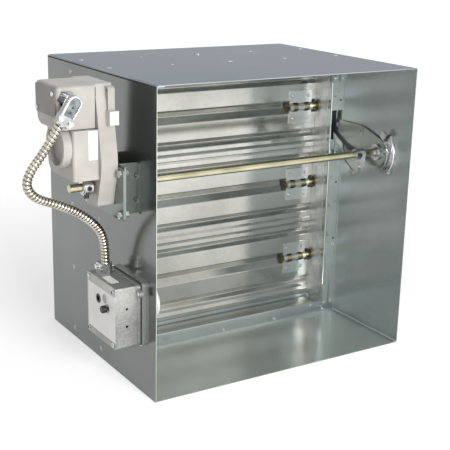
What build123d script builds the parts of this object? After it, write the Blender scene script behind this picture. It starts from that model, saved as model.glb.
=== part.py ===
"""Motor-driven volume control damper in a sheet-metal sleeve.

Three folded blades turn on half-inch stub axles between two hat-section jambs. A half-inch jackshaft
crosses the front of the sleeve; a spring-return actuator on the left wall turns it, and a crank and
a bent link in the right-hand jamb carry the turn to the blades.

Units are millimetres. The origin is the middle of the sleeve's bottom face, +X runs to the right
across the air stream, +Y runs along it from the jackshaft side to the far side, and +Z is up.
"""
from build123d import *
import math
import os

# ---------------------------------------------------------------- driving sizes
# Sleeve: a nominal 20 x 20 in duct size less 1/4 in, 16 in long, folded from 18 gauge sheet
sleeve_width = 501.65
sleeve_height = 501.65
sleeve_depth = 406.4
sleeve_sheet = 1.3
seam_lip = 12.0
seam_groove = 2.5

# Hat-section frame, 5 in wide, low profile
frame_sheet = 1.6
frame_width = 127.0
frame_face = 93.0
frame_height = 16.0
frame_setback = 152.7
frame_bend_radius = 2.0
gusset_leg = 46.0
gusset_width = 12.0
gusset_sheet = 1.6
stop_sheet = 1.5
stop_foot = 9.0
stop_leg = 11.5

# Blades: three-vee section
blade_count = 3
blade_edge_gap = 8.525
blade_sheet = 1.5
blade_end_gap = 3.5
blade_bend_radius = 2.2
blade_front_offset = 1.0
centre_vee_half = 12.5
centre_vee_depth = 9.2
outer_vee_share = 0.34
outer_vee_half = 8.0
outer_vee_depth = 7.0
lip_overlap = 3.0
lip_height = 7.0
lip_ramp = 5.0
front_lip_step = 2.75
rear_lip_step = -0.75
shaft_diameter = 12.7
running_clearance = 0.05
seat_clearance = 0.15

# Clips that hold the stub axles in the centre vees
clip_length = 51.0
clip_height = 62.0
clip_sheet = 2.0
clip_end_inset = 11.0
clip_window = 11.5
clip_window_inset = 10.0
clip_rivet_x = 18.0
clip_rivet_z = 21.0
rivet_shank = 4.0
rivet_head = 7.0
rivet_head_height = 1.5

# Stub axles and their bushings in the jambs
axle_inner_reach = 59.0
bushing_wall = 2.1
bushing_flange = 3.8
bushing_flange_thickness = 1.0
seal_sheet = 0.4
seal_bow = 2.4
seal_width = 71.0
seal_hole_clearance = 2.0

# Linkage in the right-hand jamb
crank_radius = 22.0
crank_sheet = 2.5
crank_gap = 1.2
layer_gap = 0.3
crank_hub_diameter = 20.0
crank_tip_width = 13.0
pin_diameter = 6.0
pin_clearance = 0.15
pin_head_diameter = 9.0
pin_head_height = 0.9
tie_bar_width = 13.0
link_width = 10.0
link_elbow_y = 26.0
link_elbow_z = -20.0
link_joggle_start = 48.0
link_joggle_length = 42.0
link_slot_width = 11.0

# Jackshaft
jackshaft_inset = 85.2
jackshaft_rise = 90.175
jackshaft_stub = 103.0
arm_hub_diameter = 19.0
arm_hub_length = 19.0
arm_inset = 55.5
arm_thickness = 9.0
arm_tip_width = 15.0
arm_screw_diameter = 5.0
bracket_sheet = 2.5
bracket_top = 40.0
bracket_foot = 35.0
bracket_nose = 26.0
bracket_ear = 9.0
bearing_flange_diameter = 29.0
bearing_boss_diameter = 17.5
bearing_length = 9.0
bearing_flange_thickness = 3.0
wall_bushing_flange = 22.0
wall_bushing_thickness = 1.5

# Curved stop bracket on the right-hand wall
quadrant_inner = 35.0
quadrant_outer = 50.0
quadrant_height = 12.0
quadrant_sheet = 2.0
quadrant_half_angle = 50.0

# Hex hardware, 1/4 in
bolt_shank = 6.35
bolt_head_flats = 11.1
bolt_head_height = 4.4
nut_height = 5.6
small_screw_shank = 4.0
small_screw_head = 7.6
small_screw_height = 2.4

# Actuator stand-off and mounting plate
standoff = 33.7
channel_sheet = 2.5
channel_drop = 44.0
channel_height = 80.0
channel_front_reach = 24.5
channel_rear_reach = 56.0
channel_wall_flange = 9.5
channel_outer_flange = 23.5
channel_bolt_reach = 16.5
channel_screw_pitch = 37.0
plate_drop = 48.0
plate_height = 82.0
plate_sheet = 2.5
plate_bolt_inset = 9.0

# Actuator castings, placed from the jackshaft: reaches run along the air stream, rises run up
gear_case_thickness = 27.0
spring_housing_thickness = 41.0
drum_rim_height = 13.0
motor_cover_depth = 61.0
case_front_reach = 31.0
case_foot_drop = 33.0
housing_rise = 2.5
housing_height = 76.0
housing_front_reach = 22.0
housing_rear_reach = 74.0
housing_corner = 20.0
motor_cover_height = 66.0
motor_front_reach = 13.0
motor_rear_reach = 67.0
cast_wall = 4.0
cast_fillet = 5.0
drum_reach = 15.0
drum_drop = 27.0
drum_radius = 34.0
drum_wall = 4.5
drum_recess = 10.0
spring_drop = 36.0
spring_radius = 32.0
spring_core = 12.0
spring_width = 22.0
motor_diameter = 28.0
motor_length = 48.0
cover_plate_sheet = 1.8
cover_plate_height = 46.0
cover_screw_inset_y = 10.0
cover_screw_top = 12.0
cover_screw_bottom = 6.5
lug_width = 11.0
lug_radius = 6.5
lug_reach = 16.0
lug_drop = 10.0
lug_length = 46.0
lug_hole = 5.0
clip_front_reach = 32.0
clip_drop = 60.0
clip_rise = 21.0
hub_diameter = 25.0
hub_length = 14.0
hub_gap = 4.0
hub_screw = 8.0
retaining_ring_diameter = 21.0
retaining_ring_sheet = 1.2
retaining_ring_gap = 5.0
ring_groove_width = 1.4
ring_groove_depth = 0.8

# Conduit, 3/8 in trade size, and its two connectors
conduit_diameter = 14.3
elbow_offset = 46.0
elbow_drop = 20.0
elbow_diameter = 21.0
elbow_reach = 38.0
elbow_stand = 22.0
clamp_length = 14.0
clamp_width = 24.0
locknut_flats = 25.0
locknut_height = 3.5
connector_offset = 26.7
connector_reach = 33.5
connector_height = 15.0
connector_diameter = 20.0

# Middle line of the conduit, from inside the elbow to inside the box connector, as distance off the
# left wall, place behind the sleeve's front edge, and height
conduit_route = [
    (124.2, 52.7, 452.2),
    (145.2, 56.2, 416.0),
    (177.2, 73.2, 366.0),
    (163.7, 79.7, 335.5),
    (117.2, 89.2, 317.0),
    (77.2, 98.2, 295.5),
    (41.2, 107.2, 264.0),
    (29.2, 115.7, 230.0),
    (26.7, 120.7, 197.0),
]

# Control box on the left wall
box_size = 101.6
box_inset = 87.2
box_z = 137.0
box_sheet = 1.6
box_depth = 41.0
box_corner = 7.0
box_flange_height = 5.0
gasket_sheet = 2.0
box_plate_sheet = 6.2
box_cover_sheet = 2.0
ear_width = 13.0
ear_reach = 5.0
cover_screw_inset = 7.0
screw_post = 9.0
screw_grip = 12.0
side_hole = 4.2
side_hole_pitch = 29.0
side_hole_inset = 18.0
knob_reach = -22.7
knob_rise = 9.8
knob_diameter = 12.0
knob_height = 8.0
knob_travel = 2.5
knob_stem = 5.0
knob_bore = 9.0
switch_width = 18.0
switch_size = 16.0
switch_depth = 22.0
test_socket_reach = 9.0
test_socket_rise = 17.0
test_socket_diameter = 12.0
socket_depth = 9.0
lamp_reach = -14.0
lamp_rise = 23.5
lamp_diameter = 14.0
cup_diameter = 67.0
cup_height = 36.5
cup_wall = 1.2
cup_flange = 3.0
cup_shoulder = 6.0
sensor_diameter = 38.0
sensor_stem = 12.0
sensor_disc = 26.0

# ---------------------------------------------------------------- worked-out places
wall_out = sleeve_width / 2
wall_in = wall_out - sleeve_sheet
half_depth = sleeve_depth / 2
ceiling = sleeve_height - sleeve_sheet
floor = sleeve_sheet

frame_mid_y = half_depth - frame_setback
frame_front = frame_mid_y - frame_width / 2
frame_rear = frame_mid_y + frame_width / 2
web_front = frame_mid_y - frame_face / 2
web_rear = frame_mid_y + frame_face / 2
jamb_face = wall_in - frame_height
jamb_back = jamb_face + frame_sheet
jamb_bottom = floor + sleeve_sheet
jamb_top = ceiling - sleeve_sheet
sill_top = floor + frame_height
head_bottom = ceiling - frame_height

blade_half = jamb_face - blade_end_gap
blade_pitch = (head_bottom - sill_top - 2 * blade_edge_gap) / blade_count
outer_vee_place = outer_vee_share * blade_pitch
first_axle_z = sleeve_height / 2 - blade_pitch * (blade_count - 1) / 2
axle_heights = [first_axle_z + blade_pitch * n for n in range(blade_count)]
shaft_radius = shaft_diameter / 2
axle_bore = shaft_radius + running_clearance
clip_middle_x = blade_half - clip_end_inset - clip_length / 2
axle_inner_x = jamb_face - axle_inner_reach - seat_clearance

crank_x = jamb_back + crank_gap
link_x = crank_x + crank_sheet + layer_gap
tie_bar_x = link_x + crank_sheet + layer_gap
pin_end_x = tie_bar_x + crank_sheet + layer_gap

jackshaft_y = jackshaft_inset - half_depth
jackshaft_z = sleeve_height / 2 + jackshaft_rise
jackshaft_end_x = -wall_out - jackshaft_stub
arm_x = wall_in - arm_inset
bracket_face_x = wall_in - frame_sheet - bracket_sheet
link_arm_x = arm_x + arm_hub_length + layer_gap
arm_pin_end_x = link_arm_x + crank_sheet + layer_gap

channel_face_x = -wall_out - standoff
plate_face_x = channel_face_x - plate_sheet
case_face_x = plate_face_x - gear_case_thickness
housing_face_x = case_face_x - spring_housing_thickness
drum_face_x = housing_face_x - drum_rim_height
motor_face_x = case_face_x - motor_cover_depth
hub_face_x = case_face_x - hub_gap
hub_outer_x = hub_face_x - hub_length
groove_radius = shaft_radius - ring_groove_depth

channel_bottom = jackshaft_z - channel_drop
channel_front_web_y = jackshaft_y - channel_front_reach
channel_rear_web_y = jackshaft_y + channel_rear_reach
plate_bottom = jackshaft_z - plate_drop
plate_top = plate_bottom + plate_height
case_front_y = jackshaft_y - case_front_reach
actuator_foot = jackshaft_z - case_foot_drop
housing_bottom = jackshaft_z + hub_diameter / 2 + housing_rise
housing_split = housing_bottom + housing_height
housing_front_y = jackshaft_y - housing_front_reach
housing_rear_y = jackshaft_y + housing_rear_reach
actuator_top = housing_split + motor_cover_height
motor_front_y = jackshaft_y - motor_front_reach
motor_rear_y = jackshaft_y + motor_rear_reach
cover_plate_bottom = actuator_top - cover_plate_height
cover_screws = [
    (motor_front_y + cover_screw_inset_y, actuator_top - cover_screw_top),
    (motor_rear_y - cover_screw_inset_y, cover_plate_bottom + cover_screw_bottom),
]
drum_y = jackshaft_y + drum_reach
drum_z = housing_split - drum_drop
spring_z = housing_split - spring_drop
lug_y = jackshaft_y - lug_reach
lug_z = actuator_top - lug_drop
clip_front_y = jackshaft_y - clip_front_reach
clip_bottom = actuator_top - clip_drop
elbow_x = case_face_x - elbow_offset
elbow_z = actuator_top - elbow_drop

box_y = box_inset - half_depth
box_back_x = -wall_out - box_plate_sheet - gasket_sheet
box_front_x = box_back_x - box_depth
cover_face_x = box_front_x - box_cover_sheet
box_top = box_z + box_size / 2
connector_x = -wall_out - connector_offset
connector_y = box_y + connector_reach
knob_y = box_y + knob_reach
knob_z = box_z + knob_rise
knob_back_x = cover_face_x - knob_travel - layer_gap
test_socket_y = box_y + test_socket_reach
test_socket_z = box_z + test_socket_rise
lamp_y = box_y + lamp_reach
lamp_z = box_z + lamp_rise

os.makedirs("parts", exist_ok=True)


def save(part, name):
    """Label a finished piece and write it as its own STEP file."""
    part.label = name
    export_step(part, f"parts/{name}.step")


def turned(radii_and_places, plane):
    """A closed half section, as (place along the axis, radius) pairs, turned about the plane's X."""
    with BuildPart() as body:
        with BuildSketch(plane):
            with BuildLine():
                Polyline(*radii_and_places, close=True)
            make_face()
        revolve(axis=Axis(plane.origin, plane.x_dir))
    return body.part


def shaft_plane(x, y, z):
    """A plane whose X runs along the shafts and whose Y points up."""
    return Plane(origin=(x, y, z), x_dir=(1, 0, 0), z_dir=(0, -1, 0))


# ---------------------------------------------------------------- sleeve
# Each half is a wall and a floor or ceiling in one L, with a lip along the wall's free edge
with BuildPart() as sleeve_left_bottom:
    with BuildSketch(Plane.XZ.offset(half_depth)):
        with BuildLine():
            Polyline(
                (-wall_out, 0),
                (wall_out - seam_groove, 0),
                (wall_out - seam_groove, floor),
                (-wall_in, floor),
                (-wall_in, ceiling - sleeve_sheet),
                (-wall_in + seam_lip, ceiling - sleeve_sheet),
                (-wall_in + seam_lip, ceiling),
                (-wall_out, ceiling),
                close=True,
            )
        make_face()
    extrude(amount=-sleeve_depth)
    with BuildSketch(Plane.YZ.offset(-wall_out)):
        with Locations((jackshaft_y, jackshaft_z)):
            Circle(shaft_radius + bushing_wall + seat_clearance)
        with Locations((box_y, box_z)):
            Circle(sensor_diameter / 2)
    extrude(amount=sleeve_sheet, mode=Mode.SUBTRACT)
save(sleeve_left_bottom.part, "sleeve_left_bottom")

with BuildPart() as sleeve_top_right:
    with BuildSketch(Plane.XZ.offset(half_depth)):
        with BuildLine():
            Polyline(
                (wall_out, sleeve_height),
                (-wall_out + seam_groove, sleeve_height),
                (-wall_out + seam_groove, ceiling),
                (wall_in, ceiling),
                (wall_in, floor + sleeve_sheet),
                (wall_in - seam_lip, floor + sleeve_sheet),
                (wall_in - seam_lip, floor),
                (wall_out, floor),
                close=True,
            )
        make_face()
    extrude(amount=-sleeve_depth)
save(sleeve_top_right.part, "sleeve_top_right")


# ---------------------------------------------------------------- hat-section frame
def hat_section(base, direction):
    """Corners of the hat channel, as (distance off the base line, place along the air stream)."""
    inner = frame_height - frame_sheet
    corners = [
        (0, frame_front),
        (frame_sheet, frame_front),
        (frame_sheet, web_front),
        (frame_height, web_front),
        (frame_height, web_rear),
        (frame_sheet, web_rear),
        (frame_sheet, frame_rear),
        (0, frame_rear),
        (0, web_rear - frame_sheet),
        (inner, web_rear - frame_sheet),
        (inner, web_front + frame_sheet),
        (0, web_front + frame_sheet),
    ]
    return [(base + direction * reach, place) for reach, place in corners]


def jamb(side, slotted):
    """A full-height jamb on the left (side -1) or right (side +1) wall, bored for the axles."""
    with BuildPart() as post:
        with BuildSketch(Plane.XY.offset(jamb_bottom)):
            with BuildLine():
                Polyline(*hat_section(side * wall_in, -side), close=True)
            make_face()
        extrude(amount=jamb_top - jamb_bottom)
        face_edges = post.edges().filter_by(Axis.Z).group_by(Axis.X)[0 if side > 0 else -1]
        fillet(face_edges, frame_bend_radius)
        with BuildSketch(Plane.YZ.offset(side * jamb_face)):
            for height in axle_heights:
                with Locations((frame_mid_y, height)):
                    Circle(shaft_radius + bushing_wall)
        extrude(amount=side * frame_sheet, mode=Mode.SUBTRACT)
        if slotted:
            low = link_web_height(0) - link_width
            high = link_web_height(1) + link_width
            with BuildSketch(Plane.XZ.offset(-web_front)):
                with Locations(((jamb_face + wall_in) / 2, (low + high) / 2)):
                    Rectangle(link_slot_width, high - low)
            extrude(amount=-frame_sheet, mode=Mode.SUBTRACT)
    return post.part


def link_web_height(opened):
    """Height at which the drive link passes the jamb's front web, closed (0) or open (1)."""
    start_y = jackshaft_y + link_elbow_y - opened * crank_radius
    start_z = jackshaft_z - crank_radius + link_elbow_z + opened * crank_radius
    end_y = frame_mid_y - opened * crank_radius
    end_z = axle_heights[-1] - crank_radius + opened * crank_radius
    return start_z + (end_z - start_z) * (web_front - start_y) / (end_y - start_y)


save(jamb(-1, False), "jamb_left")
save(jamb(1, True), "jamb_right")


def rail(base, direction):
    """A sill (direction +1) or head (direction -1) between the jambs' faces."""
    with BuildPart() as bar:
        with BuildSketch(Plane.ZY.offset(jamb_face)):
            with BuildLine():
                Polyline(*hat_section(base, direction), close=True)
            make_face()
        extrude(amount=-2 * jamb_face)
        face_edges = bar.edges().filter_by(Axis.X).group_by(Axis.Z)[-1 if direction > 0 else 0]
        fillet(face_edges, frame_bend_radius)
    return bar.part


save(rail(floor, 1), "sill")
save(rail(ceiling, -1), "head")

# Corner gussets lie flat on the front webs of the hat sections
with BuildPart() as corner_gussets:
    with BuildSketch(Plane.XZ.offset(-web_front)):
        for side in (-1, 1):
            for end in (-1, 1):
                corner_x = side * (jamb_face + gusset_width)
                corner_z = sleeve_height / 2 + end * (sleeve_height / 2 - floor - frame_height + gusset_width)
                with BuildLine():
                    Polyline(
                        (corner_x, corner_z),
                        (corner_x - side * gusset_leg, corner_z),
                        (corner_x - side * gusset_leg, corner_z - end * gusset_width),
                        (corner_x - side * gusset_width, corner_z - end * gusset_width),
                        (corner_x - side * gusset_width, corner_z - end * gusset_leg),
                        (corner_x, corner_z - end * gusset_leg),
                        close=True,
                    )
                make_face()
    extrude(amount=gusset_sheet)
save(corner_gussets.part, "corner_gussets")

# Angle stops behind the lowest blade's lip and in front of the highest blade's lip
front_lip_back = frame_mid_y - blade_front_offset + blade_sheet - front_lip_step
rear_lip_front = frame_mid_y - blade_front_offset + rear_lip_step
with BuildPart() as blade_stops:
    with BuildSketch(Plane.YZ.offset(-blade_half)):
        sill_stop_y = front_lip_back + seat_clearance * 4
        head_stop_y = rear_lip_front - seat_clearance * 4
        with BuildLine():
            Polyline(
                (sill_stop_y, sill_top),
                (sill_stop_y, sill_top + stop_leg),
                (sill_stop_y + stop_sheet, sill_top + stop_leg),
                (sill_stop_y + stop_sheet, sill_top + stop_sheet),
                (sill_stop_y + stop_foot, sill_top + stop_sheet),
                (sill_stop_y + stop_foot, sill_top),
                close=True,
            )
        make_face()
        with BuildLine():
            Polyline(
                (head_stop_y, head_bottom),
                (head_stop_y, head_bottom - stop_leg),
                (head_stop_y - stop_sheet, head_bottom - stop_leg),
                (head_stop_y - stop_sheet, head_bottom - stop_sheet),
                (head_stop_y - stop_foot, head_bottom - stop_sheet),
                (head_stop_y - stop_foot, head_bottom),
                close=True,
            )
        make_face()
    extrude(amount=2 * blade_half)
save(blade_stops.part, "blade_stops")

# Bowed stainless strips that close the gap at the blade ends
with BuildPart() as jamb_seals:
    for side in (-1, 1):
        with BuildSketch(Plane.XY.offset(sill_top + stop_leg)):
            with BuildLine():
                foot = side * (jamb_face - seat_clearance)
                crest = side * (jamb_face - seat_clearance - seal_bow)
                inner_crest = side * (jamb_face - seat_clearance - seal_bow - seal_sheet)
                inner_foot = side * (jamb_face - seat_clearance - seal_sheet)
                low_y = frame_mid_y - seal_width / 2
                high_y = frame_mid_y + seal_width / 2
                ThreePointArc((foot, low_y), (crest, frame_mid_y), (foot, high_y))
                Line((foot, high_y), (inner_foot, high_y))
                ThreePointArc((inner_foot, high_y), (inner_crest, frame_mid_y), (inner_foot, low_y))
                Line((inner_foot, low_y), (foot, low_y))
            make_face()
        extrude(amount=sleeve_height - 2 * (sill_top + stop_leg))
    with BuildSketch(Plane.YZ.offset(-wall_in)):
        for height in axle_heights:
            with Locations((frame_mid_y, height)):
                Circle(shaft_radius + bushing_flange + seal_hole_clearance)
    extrude(amount=2 * wall_in, mode=Mode.SUBTRACT)
save(jamb_seals.part, "jamb_seals")


# ---------------------------------------------------------------- axle bushings
def bushing_section(side):
    """Half section of a flanged bushing pressed into a jamb face from the air side."""
    start = side * (jamb_face - bushing_flange_thickness)
    end = side * (jamb_back + crank_gap - layer_gap)
    face = side * jamb_face
    return [
        (start, axle_bore),
        (end, axle_bore),
        (end, shaft_radius + bushing_wall),
        (face, shaft_radius + bushing_wall),
        (face, shaft_radius + bushing_flange),
        (start, shaft_radius + bushing_flange),
    ]


# ---------------------------------------------------------------- blades
blade_mid = blade_sheet / 2 - blade_front_offset
lip_end = blade_pitch / 2 + lip_overlap
lip_start = lip_end - lip_height
ramp_start = lip_start - lip_ramp
blade_outline = [(blade_mid + rear_lip_step, lip_end), (blade_mid + rear_lip_step, lip_start)]
blade_outline += [(blade_mid, ramp_start)]
for place, half, depth in (
    (outer_vee_place, outer_vee_half, outer_vee_depth),
    (0, centre_vee_half, centre_vee_depth),
    (-outer_vee_place, outer_vee_half, outer_vee_depth),
):
    blade_outline += [(blade_mid, place + half), (blade_mid + depth, place), (blade_mid, place - half)]
blade_outline += [(blade_mid, -ramp_start)]
blade_outline += [(blade_mid - front_lip_step, -lip_start), (blade_mid - front_lip_step, -lip_end)]


def blade(height):
    """One folded blade, with the holes for the clip rivets, in its closed position."""
    with BuildPart() as leaf:
        with BuildSketch(Plane.YZ.offset(-blade_half)):
            with BuildLine():
                FilletPolyline(
                    *[(frame_mid_y + u, height + v) for u, v in blade_outline], radius=blade_bend_radius
                )
                offset(amount=blade_sheet / 2, side=Side.BOTH)
            make_face()
        extrude(amount=2 * blade_half)
        with BuildSketch(Plane.XZ.offset(-frame_mid_y)):
            for side in (-1, 1):
                with Locations((side * clip_middle_x, height)):
                    with GridLocations(2 * clip_rivet_x, 2 * clip_rivet_z, 2, 2):
                        Circle(rivet_shank / 2)
        extrude(amount=blade_sheet, both=True, mode=Mode.SUBTRACT)
    return leaf.part


def clips(height):
    """Both axle clips of a blade: a plate with a half-round strap, two windows and four rivets."""
    face_y = frame_mid_y - blade_front_offset
    strap_inner = shaft_radius + seat_clearance
    strap_outer = strap_inner + clip_sheet
    with BuildPart() as pair:
        for side in (-1, 1):
            middle = side * clip_middle_x
            with BuildSketch(Plane.XZ.offset(-face_y)):
                with Locations((middle, height)):
                    Rectangle(clip_length, clip_height)
            extrude(amount=clip_sheet)
            with BuildSketch(Plane.YZ.offset(middle - clip_length / 2)):
                with Locations((frame_mid_y, height)):
                    Circle(strap_outer)
                with Locations((face_y + strap_outer, height)):
                    Rectangle(2 * strap_outer, 2 * strap_outer, mode=Mode.SUBTRACT)
            extrude(amount=clip_length)
        with BuildSketch(Plane.YZ.offset(-jamb_face)):
            with Locations((frame_mid_y, height)):
                Circle(strap_inner)
        extrude(amount=2 * jamb_face, mode=Mode.SUBTRACT)
        with BuildSketch(Plane.XZ.offset(-face_y)):
            for side in (-1, 1):
                for place in (clip_window_inset, clip_length - clip_window_inset - clip_window / 2):
                    window_x = clip_middle_x - clip_length / 2 + place + clip_window / 4
                    with Locations((side * window_x, height)):
                        Rectangle(clip_window, 2 * strap_outer)
        extrude(amount=strap_outer, mode=Mode.SUBTRACT)
        for side in (-1, 1):
            with BuildSketch(Plane.XZ.offset(-face_y + clip_sheet)):
                with Locations((side * clip_middle_x, height)):
                    with GridLocations(2 * clip_rivet_x, 2 * clip_rivet_z, 2, 2):
                        Circle(rivet_head / 2)
            extrude(amount=rivet_head_height, taper=25)
            with BuildSketch(Plane.XZ.offset(-face_y)):
                with Locations((side * clip_middle_x, height)):
                    with GridLocations(2 * clip_rivet_x, 2 * clip_rivet_z, 2, 2):
                        Circle(rivet_shank / 2)
            extrude(amount=-(blade_sheet + rivet_head_height / 2))
    return pair.part


def stub_axles(height):
    """The two stub axles of a blade, each from inside its clip to the outside of its bearing."""
    outer_x = crank_x + crank_sheet
    with BuildPart() as pair:
        for start, end in ((-outer_x, -axle_inner_x), (axle_inner_x, outer_x)):
            with BuildSketch(Plane.YZ.offset(start)):
                with Locations((frame_mid_y, height)):
                    Circle(shaft_radius)
            extrude(amount=end - start)
    return pair.part


def blade_crank(height, collared):
    """The crank on a blade's right-hand axle, arm down, with its pin, pin head and, if asked, a collar."""
    with BuildPart() as lever:
        with BuildSketch(Plane.YZ.offset(crank_x)):
            with Locations((frame_mid_y, height)):
                Circle(crank_hub_diameter / 2)
            with Locations((frame_mid_y, height - crank_radius)):
                Circle(crank_tip_width / 2)
            make_hull()
            with Locations((frame_mid_y, height)):
                Circle(shaft_radius, mode=Mode.SUBTRACT)
        extrude(amount=crank_sheet)
        with BuildSketch(Plane.YZ.offset(crank_x)):
            with Locations((frame_mid_y, height - crank_radius)):
                Circle(pin_diameter / 2)
        extrude(amount=pin_end_x - crank_x)
        if collared:
            with BuildSketch(Plane.YZ.offset(crank_x + crank_sheet)):
                with Locations((frame_mid_y, height - crank_radius)):
                    Circle(pin_head_diameter / 2)
            extrude(amount=tie_bar_x - layer_gap - crank_x - crank_sheet)
        with BuildSketch(Plane.YZ.offset(pin_end_x)):
            with Locations((frame_mid_y, height - crank_radius)):
                Circle(pin_head_diameter / 2)
        extrude(amount=pin_head_height)
    return lever.part


for number, height in enumerate(axle_heights, start=1):
    save(blade(height), f"blade_{number}")
    save(clips(height), f"axle_clips_{number}")
    save(stub_axles(height), f"stub_axles_{number}")
    save(blade_crank(height, number < blade_count), f"blade_crank_{number}")

# ---------------------------------------------------------------- linkage
with BuildPart() as tie_bar:
    with BuildSketch(Plane.YZ.offset(tie_bar_x)):
        length = axle_heights[-1] - axle_heights[0]
        with Locations((frame_mid_y, sleeve_height / 2 - crank_radius)):
            SlotCenterToCenter(length, tie_bar_width, rotation=90)
        for height in axle_heights:
            with Locations((frame_mid_y, height - crank_radius)):
                Circle(pin_diameter / 2 + pin_clearance, mode=Mode.SUBTRACT)
    extrude(amount=crank_sheet)
save(tie_bar.part, "tie_bar")

# The drive link is a flat bar: bent under the shaft in side view, joggled towards the wall in plan
arm_pin = (jackshaft_y, jackshaft_z - crank_radius)
link_elbow = (jackshaft_y + link_elbow_y, jackshaft_z - crank_radius + link_elbow_z)
blade_pin = (frame_mid_y, axle_heights[-1] - crank_radius)
with BuildPart() as drive_link:
    with BuildSketch(Plane.YZ.offset(link_arm_x)):
        with BuildLine():
            Polyline(arm_pin, link_elbow, blade_pin)
        trace(line_width=link_width)
        for end in (arm_pin, link_elbow, blade_pin):
            with Locations(end):
                Circle(link_width / 2)
    extrude(amount=link_x + crank_sheet - link_arm_x)
    with BuildSketch(Plane.XY.offset(link_elbow[1] - link_width)):
        with BuildLine():
            Polyline(
                (link_arm_x + crank_sheet / 2, jackshaft_y - link_width),
                (link_arm_x + crank_sheet / 2, jackshaft_y + link_joggle_start),
                (link_x + crank_sheet / 2, jackshaft_y + link_joggle_start + link_joggle_length),
                (link_x + crank_sheet / 2, frame_mid_y + link_width),
            )
            offset(amount=crank_sheet / 2, side=Side.BOTH)
        make_face()
    extrude(amount=blade_pin[1] - link_elbow[1] + 2 * link_width, mode=Mode.INTERSECT)
    with BuildSketch(Plane.YZ.offset(link_arm_x)):
        for end in (arm_pin, blade_pin):
            with Locations(end):
                Circle(pin_diameter / 2 + pin_clearance)
    extrude(amount=link_x + crank_sheet - link_arm_x, mode=Mode.SUBTRACT)
save(drive_link.part, "drive_link")

# ---------------------------------------------------------------- jackshaft
jackshaft_right_x = bracket_face_x - layer_gap
with BuildPart() as jackshaft:
    with BuildSketch(Plane.YZ.offset(jackshaft_end_x)):
        with Locations((jackshaft_y, jackshaft_z)):
            Circle(shaft_radius)
    extrude(amount=jackshaft_right_x - jackshaft_end_x)
    chamfer(jackshaft.edges().filter_by(GeomType.CIRCLE), 0.8)
    with BuildSketch(Plane.YZ.offset(hub_outer_x)):
        with Locations((jackshaft_y, jackshaft_z)):
            Circle(shaft_radius)
            Circle(groove_radius, mode=Mode.SUBTRACT)
    extrude(amount=-ring_groove_width, mode=Mode.SUBTRACT)
save(jackshaft.part, "jackshaft")

# Crank arm: a split hub clamped on the shaft, with a wedge-shaped arm that points down
arm_bottom = jackshaft_z - crank_radius - link_width / 2
with BuildPart() as crank_arm:
    with BuildSketch(Plane.YZ.offset(arm_x)):
        with Locations((jackshaft_y, jackshaft_z)):
            Circle(arm_hub_diameter / 2)
    extrude(amount=arm_hub_length)
    with BuildSketch(Plane.YZ.offset(arm_x + arm_hub_length - arm_thickness)):
        with BuildLine():
            Polyline(
                (jackshaft_y - arm_hub_diameter / 2, jackshaft_z),
                (jackshaft_y + arm_hub_diameter / 2, jackshaft_z),
                (jackshaft_y + arm_tip_width / 2, arm_bottom),
                (jackshaft_y - arm_tip_width / 2, arm_bottom),
                close=True,
            )
        make_face()
    extrude(amount=arm_thickness)
    with BuildSketch(Plane.YZ.offset(arm_x)):
        with Locations((jackshaft_y, jackshaft_z)):
            Circle(shaft_radius)
        with Locations(arm_pin):
            Circle(pin_diameter / 2)
    extrude(amount=arm_hub_length, mode=Mode.SUBTRACT)
    with BuildSketch(Plane.XZ.offset(-jackshaft_y)):
        with Locations((arm_x + arm_screw_diameter, jackshaft_z)):
            Circle(arm_screw_diameter / 2)
    extrude(amount=arm_hub_diameter, mode=Mode.SUBTRACT)
save(crank_arm.part, "crank_arm")

with BuildPart() as crank_pin:
    with BuildSketch(Plane.YZ.offset(arm_x + arm_hub_length - arm_thickness)):
        with Locations(arm_pin):
            Circle(pin_diameter / 2)
    extrude(amount=arm_pin_end_x - arm_x - arm_hub_length + arm_thickness)
    for start, height in (
        (arm_pin_end_x, pin_head_height * 2),
        (arm_x + arm_hub_length - arm_thickness - pin_head_height * 2, pin_head_height * 2),
    ):
        with BuildSketch(Plane.YZ.offset(start)):
            with Locations(arm_pin):
                Circle(pin_head_diameter / 2)
        extrude(amount=height)
save(crank_pin.part, "crank_pin")

# Clamp hub that couples the actuator to the shaft, its screws and the lock nut outside it
with BuildPart() as actuator_hub:
    with BuildSketch(Plane.YZ.offset(hub_face_x)):
        with Locations((jackshaft_y, jackshaft_z)):
            Circle(hub_diameter / 2)
            Circle(shaft_radius, mode=Mode.SUBTRACT)
    extrude(amount=-hub_length)
    chamfer(actuator_hub.edges().filter_by(GeomType.CIRCLE).group_by(Axis.X)[0], 1.0)
    hub_screw_x = hub_face_x - hub_length / 2
    with BuildSketch(Plane.XZ.offset(-jackshaft_y)):
        with Locations((hub_screw_x, jackshaft_z)):
            Circle(hub_screw / 2)
    extrude(amount=hub_diameter, mode=Mode.SUBTRACT)
    with BuildSketch(Plane.XY.offset(jackshaft_z - shaft_radius)):
        with Locations((hub_screw_x, jackshaft_y)):
            Circle(hub_screw / 2)
    extrude(amount=-hub_diameter, mode=Mode.SUBTRACT)
save(actuator_hub.part, "actuator_hub")

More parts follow.
